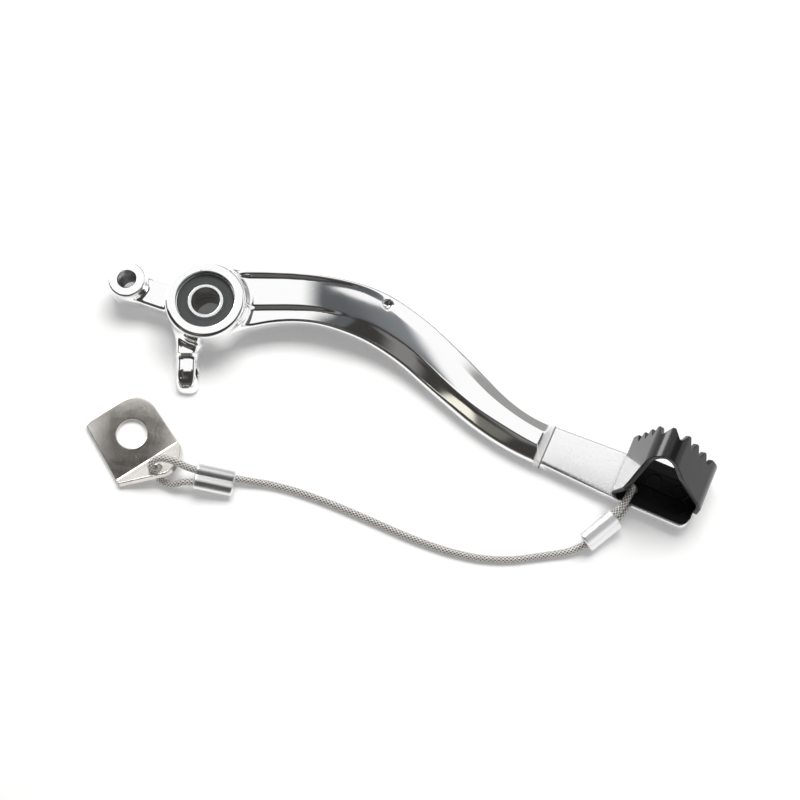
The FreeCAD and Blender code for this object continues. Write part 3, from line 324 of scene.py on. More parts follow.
def skin_of(field, low, high, step):
    """Quads on the zero of a field: one point in each grid cell that the skin crosses, at the mean of the
    crossings of its edges, and one quad round each grid edge that crosses."""
    axes = [np.arange(a, b + step, step) for a, b in zip(low, high)]
    value = field(axes[0][:, None, None], axes[1][None, :, None], axes[2][None, None, :])
    value = value.astype(np.float32)
    inside = value < 0
    cells = tuple(n - 1 for n in value.shape)
    total = np.zeros(cells, np.int8)
    corners = [(i, j, k) for i in (0, 1) for j in (0, 1) for k in (0, 1)]
    for i, j, k in corners:
        total += inside[i:i + cells[0], j:j + cells[1], k:k + cells[2]]
    found = np.argwhere((total > 0) & (total < 8))
    number = np.full(cells, -1, np.int64)
    number[tuple(found.T)] = np.arange(len(found))
    sums = np.zeros((len(found), 3))
    hits = np.zeros(len(found))
    faces = []
    for axis in range(3):
        u = (axis + 1) % 3
        v = (axis + 2) % 3
        for a in (0, 1):
            for b in (0, 1):
                start = found.copy()
                start[:, u] += a
                start[:, v] += b
                end = start.copy()
                end[:, axis] += 1
                first = value[tuple(start.T)]
                second = value[tuple(end.T)]
                cross = (first < 0) != (second < 0)
                share = np.where(cross, first / np.where(cross, first - second, 1), 0)
                spot = start.astype(float)
                spot[:, axis] += share
                sums += spot * cross[:, None]
                hits += cross
        lower = [slice(None)] * 3
        upper = [slice(None)] * 3
        lower[axis] = slice(0, -1)
        upper[axis] = slice(1, None)
        before = inside[tuple(lower)]
        edge = np.argwhere(before != inside[tuple(upper)])
        keep = (edge[:, u] > 0) & (edge[:, v] > 0) & (edge[:, u] < cells[u]) & (edge[:, v] < cells[v])
        edge = edge[keep]
        left = np.eye(3, dtype=int)[u]
        down = np.eye(3, dtype=int)[v]
        quad = np.stack([number[tuple((edge - d).T)] for d in (0 * left, left, left + down, down)], axis=1)
        outward = before[tuple(edge.T)]
        faces.append(np.where(outward[:, None], quad, quad[:, ::-1]))
    origin = np.array([axis[0] for axis in axes])
    points = origin + sums / hits[:, None] * step
    return points, np.concatenate(faces)


def slope_of(field, points, reach=0.04):
    """Steepest way up a field at each point, by differences."""
    columns = []
    for axis in range(3):
        ahead = points.copy()
        behind = points.copy()
        ahead[:, axis] += reach
        behind[:, axis] -= reach
        columns.append((field(*ahead.T) - field(*behind.T)) / (2 * reach))
    return np.stack(columns, axis=1)


def settle(field, points, step, rounds=3):
    """Moves points onto the zero of a field and gives the skin's own normals there."""
    start = points.copy()
    for _ in range(rounds):
        slope = slope_of(field, points)
        size = np.maximum((slope * slope).sum(1), 0.05)
        points = points - slope * (field(*points.T) / size)[:, None]
        drift = points - start
        length = np.linalg.norm(drift, axis=1)
        points = start + drift * np.minimum(1, 0.7 * step / np.maximum(length, 1e-9))[:, None]
    slope = slope_of(field, points)
    return points, slope / np.maximum(np.linalg.norm(slope, axis=1), 1e-9)[:, None]


def field_skin(field, low, high, step):
    """Points, faces and normals of a field's skin inside a box."""
    points, faces = skin_of(field, low, high, step)
    points, normals = settle(field, points, step)
    return points, faces, normals


def moved(shape, turn, place):
    """Points, faces and normals, turned and then shifted."""
    points, faces, normals = shape
    return points @ turn.T + np.array(place), faces, normals @ turn.T


# Meshes

def make_piece(name, shape, finish, body="pedal", triangles=None, crease=None):
    """Object from a shape's points, quads and normals or None, in millimetres, smooth shaded."""
    points, quads, normals = shape
    mesh = bpy.data.meshes.new(name)
    mesh.vertices.add(len(points))
    mesh.vertices.foreach_set("co", (points * MM).astype(np.float32).ravel())
    loops = quads.ravel()
    starts = np.arange(len(quads)) * 4
    if triangles is not None:
        starts = np.concatenate([starts, len(loops) + np.arange(len(triangles)) * 3])
        loops = np.concatenate([loops, triangles.ravel()])
    mesh.loops.add(len(loops))
    mesh.loops.foreach_set("vertex_index", loops.astype(np.int32))
    mesh.polygons.add(len(starts))
    mesh.polygons.foreach_set("loop_start", starts.astype(np.int32))
    mesh.polygons.foreach_set("use_smooth", np.ones(len(starts), bool))
    mesh.update(calc_edges=True)
    mesh.validate()
    if crease is not None:
        mesh.set_sharp_from_angle(angle=math.radians(crease))
    if normals is not None:
        mesh.normals_split_custom_set_from_vertices(normals.astype(np.float32))
    mesh.materials.append(finish)
    piece = bpy.data.objects.new(name, mesh)
    bpy.context.scene.collection.objects.link(piece)
    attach(piece, body)
    return piece


def grid_quads(rows, columns, close_rows=False):
    """Quads of a grid of points stored row by row, closed on itself along each row and, if asked, from the
    last row to the first."""
    r = np.arange(rows if close_rows else rows - 1)
    i, j = np.meshgrid(r, np.arange(columns), indexing="ij")
    next_i = (i + 1) % rows
    next_j = (j + 1) % columns
    quads = np.stack([i * columns + j, i * columns + next_j, next_i * columns + next_j, next_i * columns + j])
    return quads.reshape(4, -1).T


def tube_faces(rows, columns, flip=False):
    """Quads of a tube's wall and triangles of its two ends, turned over if asked."""
    quads = grid_quads(rows, columns)
    fan = np.stack([np.zeros(columns - 2, int), np.arange(1, columns - 1), np.arange(2, columns)], axis=1)
    ends = np.concatenate([fan[:, ::-1], fan + (rows - 1) * columns])
    return (quads[:, ::-1], ends[:, ::-1]) if flip else (quads, ends)


def rounded_outline(corners, radii, steps=5):
    """Closed outline, counter-clockwise, whose corners are arcs, with its outward normals."""
    corners = np.asarray(corners, float)
    radii = np.broadcast_to(radii, len(corners))[:, None]
    way_in = corners - np.roll(corners, 1, axis=0)
    way_in /= np.linalg.norm(way_in, axis=1)[:, None]
    way_out = np.roll(way_in, -1, axis=0)
    turn = np.arctan2(way_in[:, 0] * way_out[:, 1] - way_in[:, 1] * way_out[:, 0], (way_in * way_out).sum(1))
    reach = radii * np.tan(np.abs(turn) / 2)[:, None]
    outward = np.stack([way_in[:, 1], -way_in[:, 0]], axis=1)
    side = np.sign(turn)[:, None]
    centre = corners - way_in * reach - outward * side * radii
    angle = np.linspace(0, 1, steps)[None, :] * turn[:, None]
    c = np.cos(angle)
    s = np.sin(angle)
    normal = np.stack([outward[:, :1] * c - outward[:, 1:] * s,
                       outward[:, :1] * s + outward[:, 1:] * c], axis=2)
    points = centre[:, None, :] + normal * (side * radii)[:, None, :]
    return points.reshape(-1, 2), normal.reshape(-1, 2)


def revolved(corners, radii, around=(0.0, 0.0), segments=144, steps=5):
    """A closed outline of radius and height turned about an upright axis, with its own normals."""
    outline, outward = rounded_outline(corners, radii, steps)
    angle = np.arange(segments) * 2 * math.pi / segments
    c = np.cos(angle)[:, None]
    s = np.sin(angle)[:, None]
    points, normals = (np.stack([flat[:, 0] * c, flat[:, 0] * s, 0 * c + flat[:, 1]], axis=2).reshape(-1, 3)
                       for flat in (outline, outward))
    quads = grid_quads(segments, len(outline), True)[:, ::-1]
    return points + np.array((*around, 0)), quads, normals


def turned_piece(name, node, corners, radii, finish, body="pedal"):
    """Revolved piece that stands for one of the part's nodes."""
    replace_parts(make_piece(name, revolved(corners, radii), finish, body), node)


# Materials

def feed(tree, socket, value):
    """Links a socket to another one, or sets its value or colour."""
    if isinstance(value, bpy.types.NodeSocket):
        tree.links.new(value, socket)
    elif socket.type == "RGBA":
        socket.default_value = (*value[:3], 1.0)
    else:
        socket.default_value = value


def add_node(tree, kind, inputs=None, **settings):
    """New shader node with its settings made and its inputs set or linked."""
    node = tree.nodes.new("ShaderNode" + kind)
    for name, value in settings.items():
        setattr(node, name, value)
    for key, value in (inputs or {}).items():
        feed(tree, node.inputs[key], value)
    return node


def noise_node(tree, place, scale, detail, roughness):
    inputs = {"Vector": place, "Scale": scale, "Detail": detail, "Roughness": roughness}
    return add_node(tree, "TexNoise", inputs).outputs["Fac"]


def math_node(tree, operation, a, b=None, clamp=False):
    inputs = {0: a} if b is None else {0: a, 1: b}
    return add_node(tree, "Math", inputs, operation=operation, use_clamp=clamp).outputs[0]


def plus(tree, a, b, clamp=False):
    return math_node(tree, "ADD", a, b, clamp)


def minus(tree, a, b):
    return math_node(tree, "SUBTRACT", a, b)


def times(tree, a, b):
    return math_node(tree, "MULTIPLY", a, b)


def range_node(tree, value, low, high, to_low, to_high, kind="SMOOTHSTEP"):
    inputs = {"Value": value, "From Min": low, "From Max": high, "To Min": to_low, "To Max": to_high}
    return add_node(tree, "MapRange", inputs, interpolation_type=kind).outputs["Result"]


def stretch_node(tree, place, scale, turn):
    return add_node(tree, "Mapping", {"Vector": place, "Scale": scale, "Rotation": turn}).outputs["Vector"]


def mix_colour(tree, share, first, second):
    node = add_node(tree, "Mix", {"Factor": share}, data_type="RGBA")
    sockets = [socket for socket in node.inputs if socket.type == "RGBA"]
    feed(tree, sockets[0], first)
    feed(tree, sockets[1], second)
    return next(socket for socket in node.outputs if socket.type == "RGBA")


def vector_node(tree, operation, first, second=None):
    """Vector maths node: gives its value for a dot product or a length, and its vector otherwise."""
    inputs = {0: first} if second is None else {0: first, 1: second}
    node = add_node(tree, "VectorMath", inputs, operation=operation)
    return node.outputs["Value" if operation in ("DOT_PRODUCT", "LENGTH") else "Vector"]


def object_spot(tree):
    """Place on the object, in metres."""
    return add_node(tree, "TexCoord").outputs["Object"]


def new_group(name, levels):
    """Node group that makes a roughness and a height from a place and some levels."""
    group = bpy.data.node_groups.new(name, "ShaderNodeTree")
    group.interface.new_socket(name="Vector", in_out="INPUT", socket_type="NodeSocketVector")
    for label in levels:
        group.interface.new_socket(name=label, in_out="INPUT", socket_type="NodeSocketFloat")
    for label in ("Roughness", "Height"):
        group.interface.new_socket(name=label, in_out="OUTPUT", socket_type="NodeSocketFloat")
    return group, group.nodes.new("NodeGroupInput").outputs, group.nodes.new("NodeGroupOutput").inputs


def surface_marks_group():
    """Handling marks: broad haze, fine scratches and a shallow ripple, from a place in metres."""
    group, given, made = new_group("surface_marks", ("Roughness", "Haze", "Scratches", "Ripple"))
    place = given["Vector"]
    cloud = noise_node(group, place, 260.0, 5.0, 0.6)
    lines = [noise_node(group, stretch_node(group, place, scale, turn), 1.0, 3.0, 0.6)
             for scale, turn in (((900, 9000, 9000), (0.1, 0.2, 0.7)), ((9000, 700, 9000), (0.2, 0.1, -0.4)))]
    lines = range_node(group, math_node(group, "MAXIMUM", *lines), 0.62, 0.74, 0, 1)
    scored = times(group, lines, given["Scratches"])
    rough = plus(group, given["Roughness"], times(group, minus(group, cloud, 0.45), given["Haze"]))
    feed(group, made["Roughness"], plus(group, rough, times(group, scored, 0.3), clamp=True))
    wave = times(group, noise_node(group, place, 85.0, 2.0, 0.4), given["Ripple"])
    feed(group, made["Height"], minus(group, wave, times(group, scored, 0.02)))
    return group


def grain_group():
    """Fine even grain of a coating, from a place in metres."""
    group, given, made = new_group("coating_grain", ("Roughness", "Spread", "Grain"))
    fine = noise_node(group, given["Vector"], 2600.0, 3.0, 0.6)
    broad = noise_node(group, given["Vector"], 320.0, 3.0, 0.5)
    spread = times(group, minus(group, broad, 0.5), given["Spread"])
    feed(group, made["Roughness"], plus(group, given["Roughness"], spread, clamp=True))
    feed(group, made["Height"], times(group, fine, given["Grain"]))
    return group


MARKS = surface_marks_group()
GRAIN = grain_group()


def new_material(name, inputs):
    """Material, its node tree and its Principled shader with some inputs set."""
    material = bpy.data.materials.new(name)
    material.use_nodes = True
    tree = material.node_tree
    shader = tree.nodes["Principled BSDF"]
    for label, value in inputs.items():
        feed(tree, shader.inputs[label], value)
    return material, tree, shader


def add_finish(tree, shader, group, bump, levels):
    """Puts a group of marks or grain on the shader's roughness and normal."""
    made = add_node(tree, "Group", {"Vector": object_spot(tree), **levels}, node_tree=group).outputs
    raised = add_node(tree, "Bump", {"Strength": 1.0, "Distance": bump, "Height": made["Height"]})
    feed(tree, shader.inputs["Roughness"], made["Roughness"])
    feed(tree, shader.inputs["Normal"], raised.outputs["Normal"])


def metal(name, colour, roughness, haze=0.05, scratches=0.2, ripple=0.3, bump=0.00002, tint=None):
    """Bare metal with handling marks. Tint varies the colour in broad patches."""
    material, tree, shader = new_material(name, {"Base Color": colour, "Metallic": 1.0})
    add_finish(tree, shader, MARKS, bump,
               {"Roughness": roughness, "Haze": haze, "Scratches": scratches, "Ripple": ripple})
    if tint is not None:
        share = range_node(tree, noise_node(tree, object_spot(tree), 130.0, 3.0, 0.5), 0.35, 0.65, 0, 1)
        feed(tree, shader.inputs["Base Color"], mix_colour(tree, share, colour, tint))
    return material


def shader_parts(material):
    """A made material's tree, Principled shader, bump node and plain colour."""
    tree = material.node_tree
    shader = tree.nodes["Principled BSDF"]
    bump = [node for node in tree.nodes if node.type == "BUMP"][0]
    return tree, shader, bump, tuple(shader.inputs["Base Color"].default_value)


def satin_pad_and_painted_light(material):
    """Makes the toe pad's end of the lever duller and finely textured, by its distance along the pad. Before
    it, the arm's end facet turns mostly non-metallic so that it renders pale, a painted bright reflection,
    and a thin dark band is painted shade in the crease where that facet meets the pad."""
    tree, shader, bump, bright = shader_parts(material)
    spot = object_spot(tree)
    along = vector_node(tree, "DOT_PRODUCT", spot, (*PAD_WAY, 0.0))
    start = pad_point(ARM_END, 0.0) @ PAD_WAY

    def past(low, high):
        return range_node(tree, along, (start + low) * MM, (start + high) * MM, 0, 1)

    share = past(2.8, 3.6)
    rough = shader.inputs["Roughness"].links[0].from_socket
    grain = noise_node(tree, spot, 1500.0, 3.0, 0.6)
    satin = plus(tree, times(tree, grain, 0.12), 0.2)
    feed(tree, shader.inputs["Roughness"], plus(tree, rough, times(tree, minus(tree, satin, rough), share)))
    height = bump.inputs["Height"].links[0].from_socket
    feed(tree, bump.inputs["Height"], plus(tree, height, times(tree, times(tree, grain, share), 0.5)))
    # painted shade: a thin dark band in the crease where the end facet meets the pad
    crease_shade = minus(tree, past(2.5, 2.8), past(3.0, 3.3))
    feed(tree, shader.inputs["Base Color"], mix_colour(tree, crease_shade, bright, (0.2, 0.2, 0.2)))
    # painted bright reflection: the end facet turns mostly non-metallic so that it renders pale
    bright_facet_paint = minus(tree, past(-0.1, 0.9), share)
    feed(tree, shader.inputs["Metallic"], minus(tree, 1.0, times(tree, bright_facet_paint, 0.8)))


def paint_bore_shade(material, radius, around=(0.0, 0.0), tone=(0.24, 0.225, 0.205)):
    """Paints shade into a ring's bore: a darker colour inside a radius about an upright axis."""
    tree, shader, _, bright = shader_parts(material)
    offset = vector_node(tree, "SUBTRACT", object_spot(tree), (around[0] * MM, around[1] * MM, 0))
    away = vector_node(tree, "LENGTH", vector_node(tree, "MULTIPLY", offset, (1, 1, 0)))
    share = range_node(tree, away, radius * MM, (radius + 0.08) * MM, 0, 1)
    feed(tree, shader.inputs["Base Color"], mix_colour(tree, share, tone, bright))


def paint_inside_shade(material, middle, length_way):
    """Paints shade on the sides of the folded tip that face its middle line, by taking their shine away."""
    tree, shader, _, _ = shader_parts(material)
    normal = add_node(tree, "TexCoord").outputs["Normal"]
    away = vector_node(tree, "SUBTRACT", object_spot(tree), middle * MM)
    along = times(tree, vector_node(tree, "DOT_PRODUCT", away, length_way),
                  vector_node(tree, "DOT_PRODUCT", normal, length_way))
    facing = minus(tree, vector_node(tree, "DOT_PRODUCT", away, normal), along)
    share = range_node(tree, facing, 0.001, 0.003, 0, 1)
    for label, shade_level in (("Specular IOR Level", 0.1), ("Coat Weight", 0.0)):
        socket = shader.inputs[label]
        feed(tree, socket, range_node(tree, share, 0, 1, shade_level, socket.default_value, "LINEAR"))


def coated(name, colour, roughness, spread=0.1, grain=0.5, bump=0.00001, specular=0.35, coat=0.0):
    """Painted, oxide or rubber surface with a fine grain."""
    material, tree, shader = new_material(name, {
        "Base Color": colour, "Specular IOR Level": specular, "Coat Weight": coat, "Coat Roughness": 0.1})
    add_finish(tree, shader, GRAIN, bump, {"Roughness": roughness, "Spread": spread, "Grain": grain})
    return material


def clear_sleeve():
    """Clear plastic sleeve of the wire rope, which hides more of it towards its edges."""
    material, tree, shader = new_material("clear_sleeve", {
        "Base Color": (0.92, 0.90, 0.885), "Roughness": 0.1, "IOR": 1.45})
    facing = add_node(tree, "LayerWeight", {"Blend": 0.5}).outputs["Facing"]
    feed(tree, shader.inputs["Alpha"], range_node(tree, facing, 0.35, 1.0, 0.07, 0.8))
    return material


# Cord: the sleeve follows the wire's route, and the strands follow its spline

def wire_curve(name, radius):
    """Open smooth spline on the route's points, with a round section of that radius or none."""
    curve = bpy.data.curves.new(name, "CURVE")
    curve.dimensions = "3D"
    spline = curve.splines.new("NURBS")
    spline.points.add(len(WIRE_ROUTE) - 1)
    for point, place in zip(spline.points, WIRE_ROUTE):
        point.co = (place[0] * MM, place[1] * MM, place[2] * MM, 1.0)
    spline.order_u = 3
    spline.use_endpoint_u = True
    spline.resolution_u = 16
    curve.bevel_depth = radius * MM
    curve.bevel_resolution = 5
    curve.use_fill_caps = True
    piece = bpy.data.objects.new(name, curve)
    bpy.context.scene.collection.objects.link(piece)
    return piece


def wire_line():
    """Points of the wire's middle line, evenly spaced, with their direction, a side that doesn't twist and
    their distance along it, in millimetres."""
    bare = wire_curve("wire_line", 0.0)
    mesh = bpy.data.meshes.new_from_object(bare)
    points = np.zeros(len(mesh.vertices) * 3)
    mesh.vertices.foreach_get("co", points)
    bpy.data.objects.remove(bare)
    points = points.reshape(-1, 3) / MM
    run = np.append(0, np.cumsum(np.linalg.norm(np.diff(points, axis=0), axis=1)))
    keep = np.append(True, np.diff(run) > 1e-6)
    points = points[keep]
    run = run[keep]
    even = np.linspace(0, run[-1], int(run[-1] / LINE_STEP))
    line = np.stack([np.interp(even, run, points[:, k]) for k in range(3)], axis=1)
    way = np.gradient(line, axis=0)
    way /= np.linalg.norm(way, axis=1)[:, None]
    side = np.zeros_like(way)
    side[0] = np.cross(way[0], (0, 0, 1))
    side[0] /= np.linalg.norm(side[0])
    for i in range(1, len(way)):
        carried = side[i - 1] - way[i] * (side[i - 1] @ way[i])
        side[i] = carried / np.linalg.norm(carried)
    return line, way, side, even


BRAID_STRANDS = 6
BRAID_LAY = 8.4
BRAID_R = 1.13
LINE_STEP = 0.3


def braided_rope(line, way, side, even, finish):
    """Round body of the wire, with coordinates that count its strands around and along."""
    up = np.cross(way, side)
    around = 20
    ring = np.arange(around) * 2 * math.pi / around
    outward = side[:, None, :] * np.cos(ring)[None, :, None] + up[:, None, :] * np.sin(ring)[None, :, None]
    points = line[:, None, :] + outward * BRAID_R
    quads, ends = tube_faces(len(line), around)
    rope = make_piece("wire_braid", (points.reshape(-1, 3), quads, None), finish, triangles=ends)
    layer = rope.data.uv_layers.new(name="braid")
    corner = np.zeros(len(rope.data.loops), np.int32)
    rope.data.loops.foreach_get("vertex_index", corner)
    row = corner // around
    column = corner % around
    wraps = np.zeros(len(corner), bool)
    inner = 4 * len(quads)
    last = (column[:inner].reshape(-1, 4) == around - 1).any(axis=1)
    wraps[:inner] = np.repeat(last, 4) & (column[:inner] == 0)
    counts = BRAID_STRANDS * np.stack([column / around + wraps, even[row] / BRAID_LAY], axis=1)
    layer.data.foreach_set("uv", counts.astype(np.float32).ravel())
    return rope


def braided_steel():
    """Steel of the braid: bright strands with painted shade in the gaps between them, from the braid's own
    coordinates.
    """
    material = metal("braided_steel", (0.80, 0.785, 0.755), 0.42, haze=0.1, scratches=0.2, ripple=0.1,
                     bump=0.00006)
    tree, shader, bump, _ = shader_parts(material)
    counts = add_node(tree, "UVMap", uv_map="braid").outputs["UV"]
    across, along, _ = add_node(tree, "SeparateXYZ", {0: counts}).outputs
    ridges = [math_node(tree, "COSINE", times(tree, crossing(tree, across, along), 2 * math.pi))
              for crossing in (plus, minus)]
    height = math_node(tree, "MAXIMUM", *ridges)
    # painted shade: the colour goes dark in the gaps between the strands
    share = range_node(tree, height, 0.25, 0.95, 0, 1)
    tone = mix_colour(tree, share, (0.10, 0.094, 0.085), (0.93, 0.905, 0.865))
    feed(tree, shader.inputs["Base Color"], tone)
    feed(tree, shader.inputs["Metallic"], 0.35)
    feed(tree, bump.inputs["Height"], height)
    return material


# Tip: one strip, toothed along its upper edge, and the plate under it

def unit(vector):
    return vector / np.linalg.norm(vector)


def tip_line():
    """Middle line of the folded strip in the tip's frame: straight runs and bends, as position, normal and
    run, then the run at its crown and where the crown stands."""
    apex = (-0.55 + 32.9 / math.tan(math.radians(74.3)), 33.9)
    end_x = 28.4
    knee = (end_x, 33.9 - (end_x - apex[0]) * math.tan(math.radians(51.5)))
    corners = np.array([(3.0, 1.0), (-0.55, 1.0), apex, knee, (end_x, 0.1)])
    radii = (2.4, 5.4, 9.0)
    spots, normals, marks = [], [], []
    start = corners[0]
    total = 0.0
    for i, corner in enumerate(corners[1:]):
        way = unit(corner - corners[i])
        left = np.array((-way[1], way[0]))
        last = i == len(radii)
        stop = corner
        if not last:
            radius = radii[i]
            out = unit(corners[i + 2] - corner)
            turn = math.acos(np.clip(way @ out, -1, 1))
            reach = radius * math.tan(turn / 2)
            stop = corner - way * reach
        length = np.linalg.norm(stop - start)
        share = np.linspace(0, 1, 40 if last else max(int(length / 0.22), 2), endpoint=last)
        spots.append(start + (stop - start) * share[:, None])
        normals.append(np.broadcast_to(left, (len(share), 2)))
        marks.append(total + length * share)
        total += length
        if last:
            break
        angle = np.linspace(0, 1, max(int(radius * turn / 0.18), 4), endpoint=False) * turn
        normal = np.cos(angle)[:, None] * left + np.sin(angle)[:, None] * way
        spots.append(stop - left * radius + normal * radius)
        normals.append(normal)
        marks.append(total + radius * angle)
        if i == 1:
            crown_mark = total + radius * turn / 2
        total += radius * turn
        start = corner + out * reach
    return np.concatenate(spots), np.concatenate(normals), np.concatenate(marks), crown_mark, apex[0]


def tip_strip(finish):
    """Section with rounded edges carried along the strip's middle line. Its upper edge rises and falls in
    teeth with narrow flats, and its lower edge follows the trimmed outline."""
    spots, normals, marks, crown_mark, apex_x = tip_line()
    pitch = 5.85
    run = marks - crown_mark
    gap_index = np.clip(np.round(run / pitch - 0.5), -4, 3)
    off = np.abs(run - (gap_index + 0.5) * pitch)
    high = 13.7 - 2.9 * np.clip((2.475 - off) / 2.075, 0, 1)
    height = spots[:, 1]
    right = spots[:, 0] > apex_x + 1.4
    low_left = np.interp(height, [0, 13.0, 14.8, 28.4, 36], [-8.0, -8.0, -7.1, 3.2, 3.2])
    low_left = np.where((height < 2.2) & (spots[:, 0] > 0.6) & ~right, -8.9, low_left)
    low_right = np.interp(height, [0, 11.0, 21.5, 28.4, 36], [-2.6, -2.6, -0.2, 3.2, 3.2])
    low = np.where(right, low_right, low_left)
    low = np.convolve(np.pad(low, 3, mode="edge"), np.ones(7) / 7, mode="valid")
    edge = 0.32
    flat = 1.0 - edge
    turn = np.array((0, math.pi / 6, math.pi / 3, math.pi / 2))
    c, s = np.cos(turn) * edge, np.sin(turn) * edge
    # around the section: up the outer face, over the top, down the inner face and under
    across = np.concatenate([flat + c, -flat - s, -flat - c, flat + s])
    rise = np.concatenate([s - edge, c - edge, edge - s, edge - c])
    y = np.repeat([high, low], 8, axis=0).T + rise
    x = spots[:, :1] + normals[:, :1] * across
    z = spots[:, 1:] + normals[:, 1:] * across
    points = np.stack([x, y, z], axis=2).reshape(-1, 3) @ TIP_TURN.T + TIP_ORIGIN
    quads, ends = tube_faces(*y.shape, flip=True)
    piece = make_piece("toe_tip_strip", (points, quads, None), finish, triangles=ends, crease=42)
    # large faces set the shading, so that flats stay flat beside their rounded edges
    modifier = piece.modifiers.new("flat_faces", "WEIGHTED_NORMAL")
    modifier.keep_sharp = True
    modifier.weight = 60
    return piece


def plate_field(u, v, w):
    """Tip's plate: slab with one large round corner, a long recess, a bead, the wire hole and screw holes."""
    outline = np.maximum(np.maximum(u - 27.7, 2.4 - u), np.maximum(v - 9.5, -8.6 - v))
    corner = np.hypot(np.maximum(u - 24.4, 0), np.maximum(-5.6 - v, 0)) - 3.0
    outline = np.where((u > 24.4) & (v < -5.6), corner, outline)
    slab = blend_cut(outline, w - 2.0 - 0 * u, 0.7)
    bead = np.hypot(v - 5.6, w - 0.9) - 1.7 + 0 * u
    bead = np.maximum(bead, np.abs(u - 13.0) - 7.5)
    slab = blend_union(slab, bead, 0.5)
    slab = blend_cut(slab, -w, 0.4)
    slot = np.hypot(u - np.clip(u, WIRE_HOLE_U, 22.5), v - SLOT_V) - 2.6
    slab = blend_cut(slab, -np.maximum(slot, 1.2 - w), 0.5)
    slab = blend_cut(slab, 2.0 - np.hypot(u - WIRE_HOLE_U, v - SLOT_V), 0.4)
    for spot in SCREW_SPOTS:
        slab = blend_cut(slab, 2.54 - np.hypot(u - spot, v - SCREW_V), 0.3)
    return slab


def tip_plate(finish):
    shape = field_skin(plate_field, (1.4, -10, -0.7), (28.8, 10.6, 3.6), 0.2)
    return make_piece("toe_tip_plate", moved(shape, TIP_TURN, TIP_ORIGIN), finish)


# Ferrules, bracket and the turned parts

def ferrule_field(x, y, z):
    """Crimped sleeve: two barrels and a waist, with both bores."""
    gap = np.hypot(np.abs(y) - 1.95, z)
    waist = np.maximum(np.abs(y) - 1.95, np.abs(z) - 2.1)
    body = blend_union(gap - 2.7 + 0 * x, waist, 0.9)
    body = blend_cut(body, np.abs(x) - 6.9, 0.9)
    return blend_cut(body, 1.36 - gap, 0.3)


def ferrule(name, place, turn, finish):
    shape = field_skin(ferrule_field, (-7.8, -5.6, -3.6), (7.8, 5.6, 3.6), 0.21)
    return make_piece(name, moved(shape, turn, place), finish)


def outline_distance(corners, x, y):
    """Distance to a closed polygon, negative inside."""
    best = None
    inside = np.zeros(np.broadcast(x, y).shape, bool)
    following = np.roll(corners, -1, axis=0)
    for (ax, ay), (bx, by) in zip(corners, following):
        ex, ey = bx - ax, by - ay
        share = np.clip(((x - ax) * ex + (y - ay) * ey) / (ex * ex + ey * ey), 0, 1)
        gap = (x - ax - ex * share) ** 2 + (y - ay - ey * share) ** 2
        best = gap if best is None else np.minimum(best, gap)
        spans = (ay > y) != (by > y)
        if by != ay:
            inside = inside ^ (spans & (x < ax + (y - ay) * ex / ey))
    return np.where(inside, -1, 1) * np.sqrt(best)


def arc_points(start, middle, end, count):
    """Points on the circle through three points, from the first to the last."""
    (x1, y1), (x2, y2), (x3, y3) = start, middle, end
    d = 2 * (x1 * (y2 - y3) + x2 * (y3 - y1) + x3 * (y1 - y2))
    s1, s2, s3 = x1 * x1 + y1 * y1, x2 * x2 + y2 * y2, x3 * x3 + y3 * y3
    cx = (s1 * (y2 - y3) + s2 * (y3 - y1) + s3 * (y1 - y2)) / d
    cy = (s1 * (x3 - x2) + s2 * (x1 - x3) + s3 * (x2 - x1)) / d
    first = math.atan2(y1 - cy, x1 - cx)
    mid = (math.atan2(y2 - cy, x2 - cx) - first + math.pi) % (2 * math.pi) - math.pi
    last = (math.atan2(y3 - cy, x3 - cx) - first + math.pi) % (2 * math.pi) - math.pi
    if abs(last) < abs(mid) or last * mid < 0:
        last += 2 * math.pi if mid > 0 else -2 * math.pi
    angle = first + np.linspace(0, last, count)
    radius = math.hypot(x1 - cx, y1 - cy)
    return np.stack([cx + radius * np.cos(angle), cy + radius * np.sin(angle)], axis=1)


BRACKET_SHEET = 2.0
BRACKET_BEND = math.radians(35.0)
BRACKET_INNER = 1.5
BRACKET_SETBACK = BRACKET_INNER * math.tan(BRACKET_BEND / 2)
BRACKET_LINE = BRACKET_SETBACK - 11.9
BRACKET_FOLD = BRACKET_INNER * BRACKET_BEND


def ear_v(depth):
    """Place on the flat blank of a depth measured on the bent ear from its corner."""
    return BRACKET_LINE - BRACKET_FOLD - (depth - BRACKET_SETBACK)


def bracket_blank():
    """Flat blank of the bracket before its ear is bent, as a closed outline."""
    k = 1 - math.sqrt(0.5)
    big = arc_points((12, 3.5), (12 - 9 * k, 12.5 - 9 * k), (3, 12.5), 14)
    small = arc_points((-10, 12.5), (-12 + 2 * k, 12.5 - 2 * k), (-12, 10.5), 7)
    left = np.array((-13.4, 1.8))
    right = np.array((12.0, 2.4))
    peak = np.array((3.2, 11.8))
    peak_left = peak + unit(left - peak) * 2.0
    right_mid = (right + peak) / 2 + np.array((0.7, 0.71)) * 1.7
    flank = arc_points(peak, right_mid, right, 16)
    peak_right = flank[3]
    blend = peak + (peak_left + peak_right - peak * 2) * 0.28
    nose = arc_points(peak_left, blend, peak_right, 6)
    ear = np.concatenate([[(-13.4, 0.9), left], nose, flank[4:], [(12.0, 1.2)]])
    ear[:, 1] = ear_v(ear[:, 1])
    return np.concatenate([big, small, [(-13.4, BRACKET_LINE)], ear])


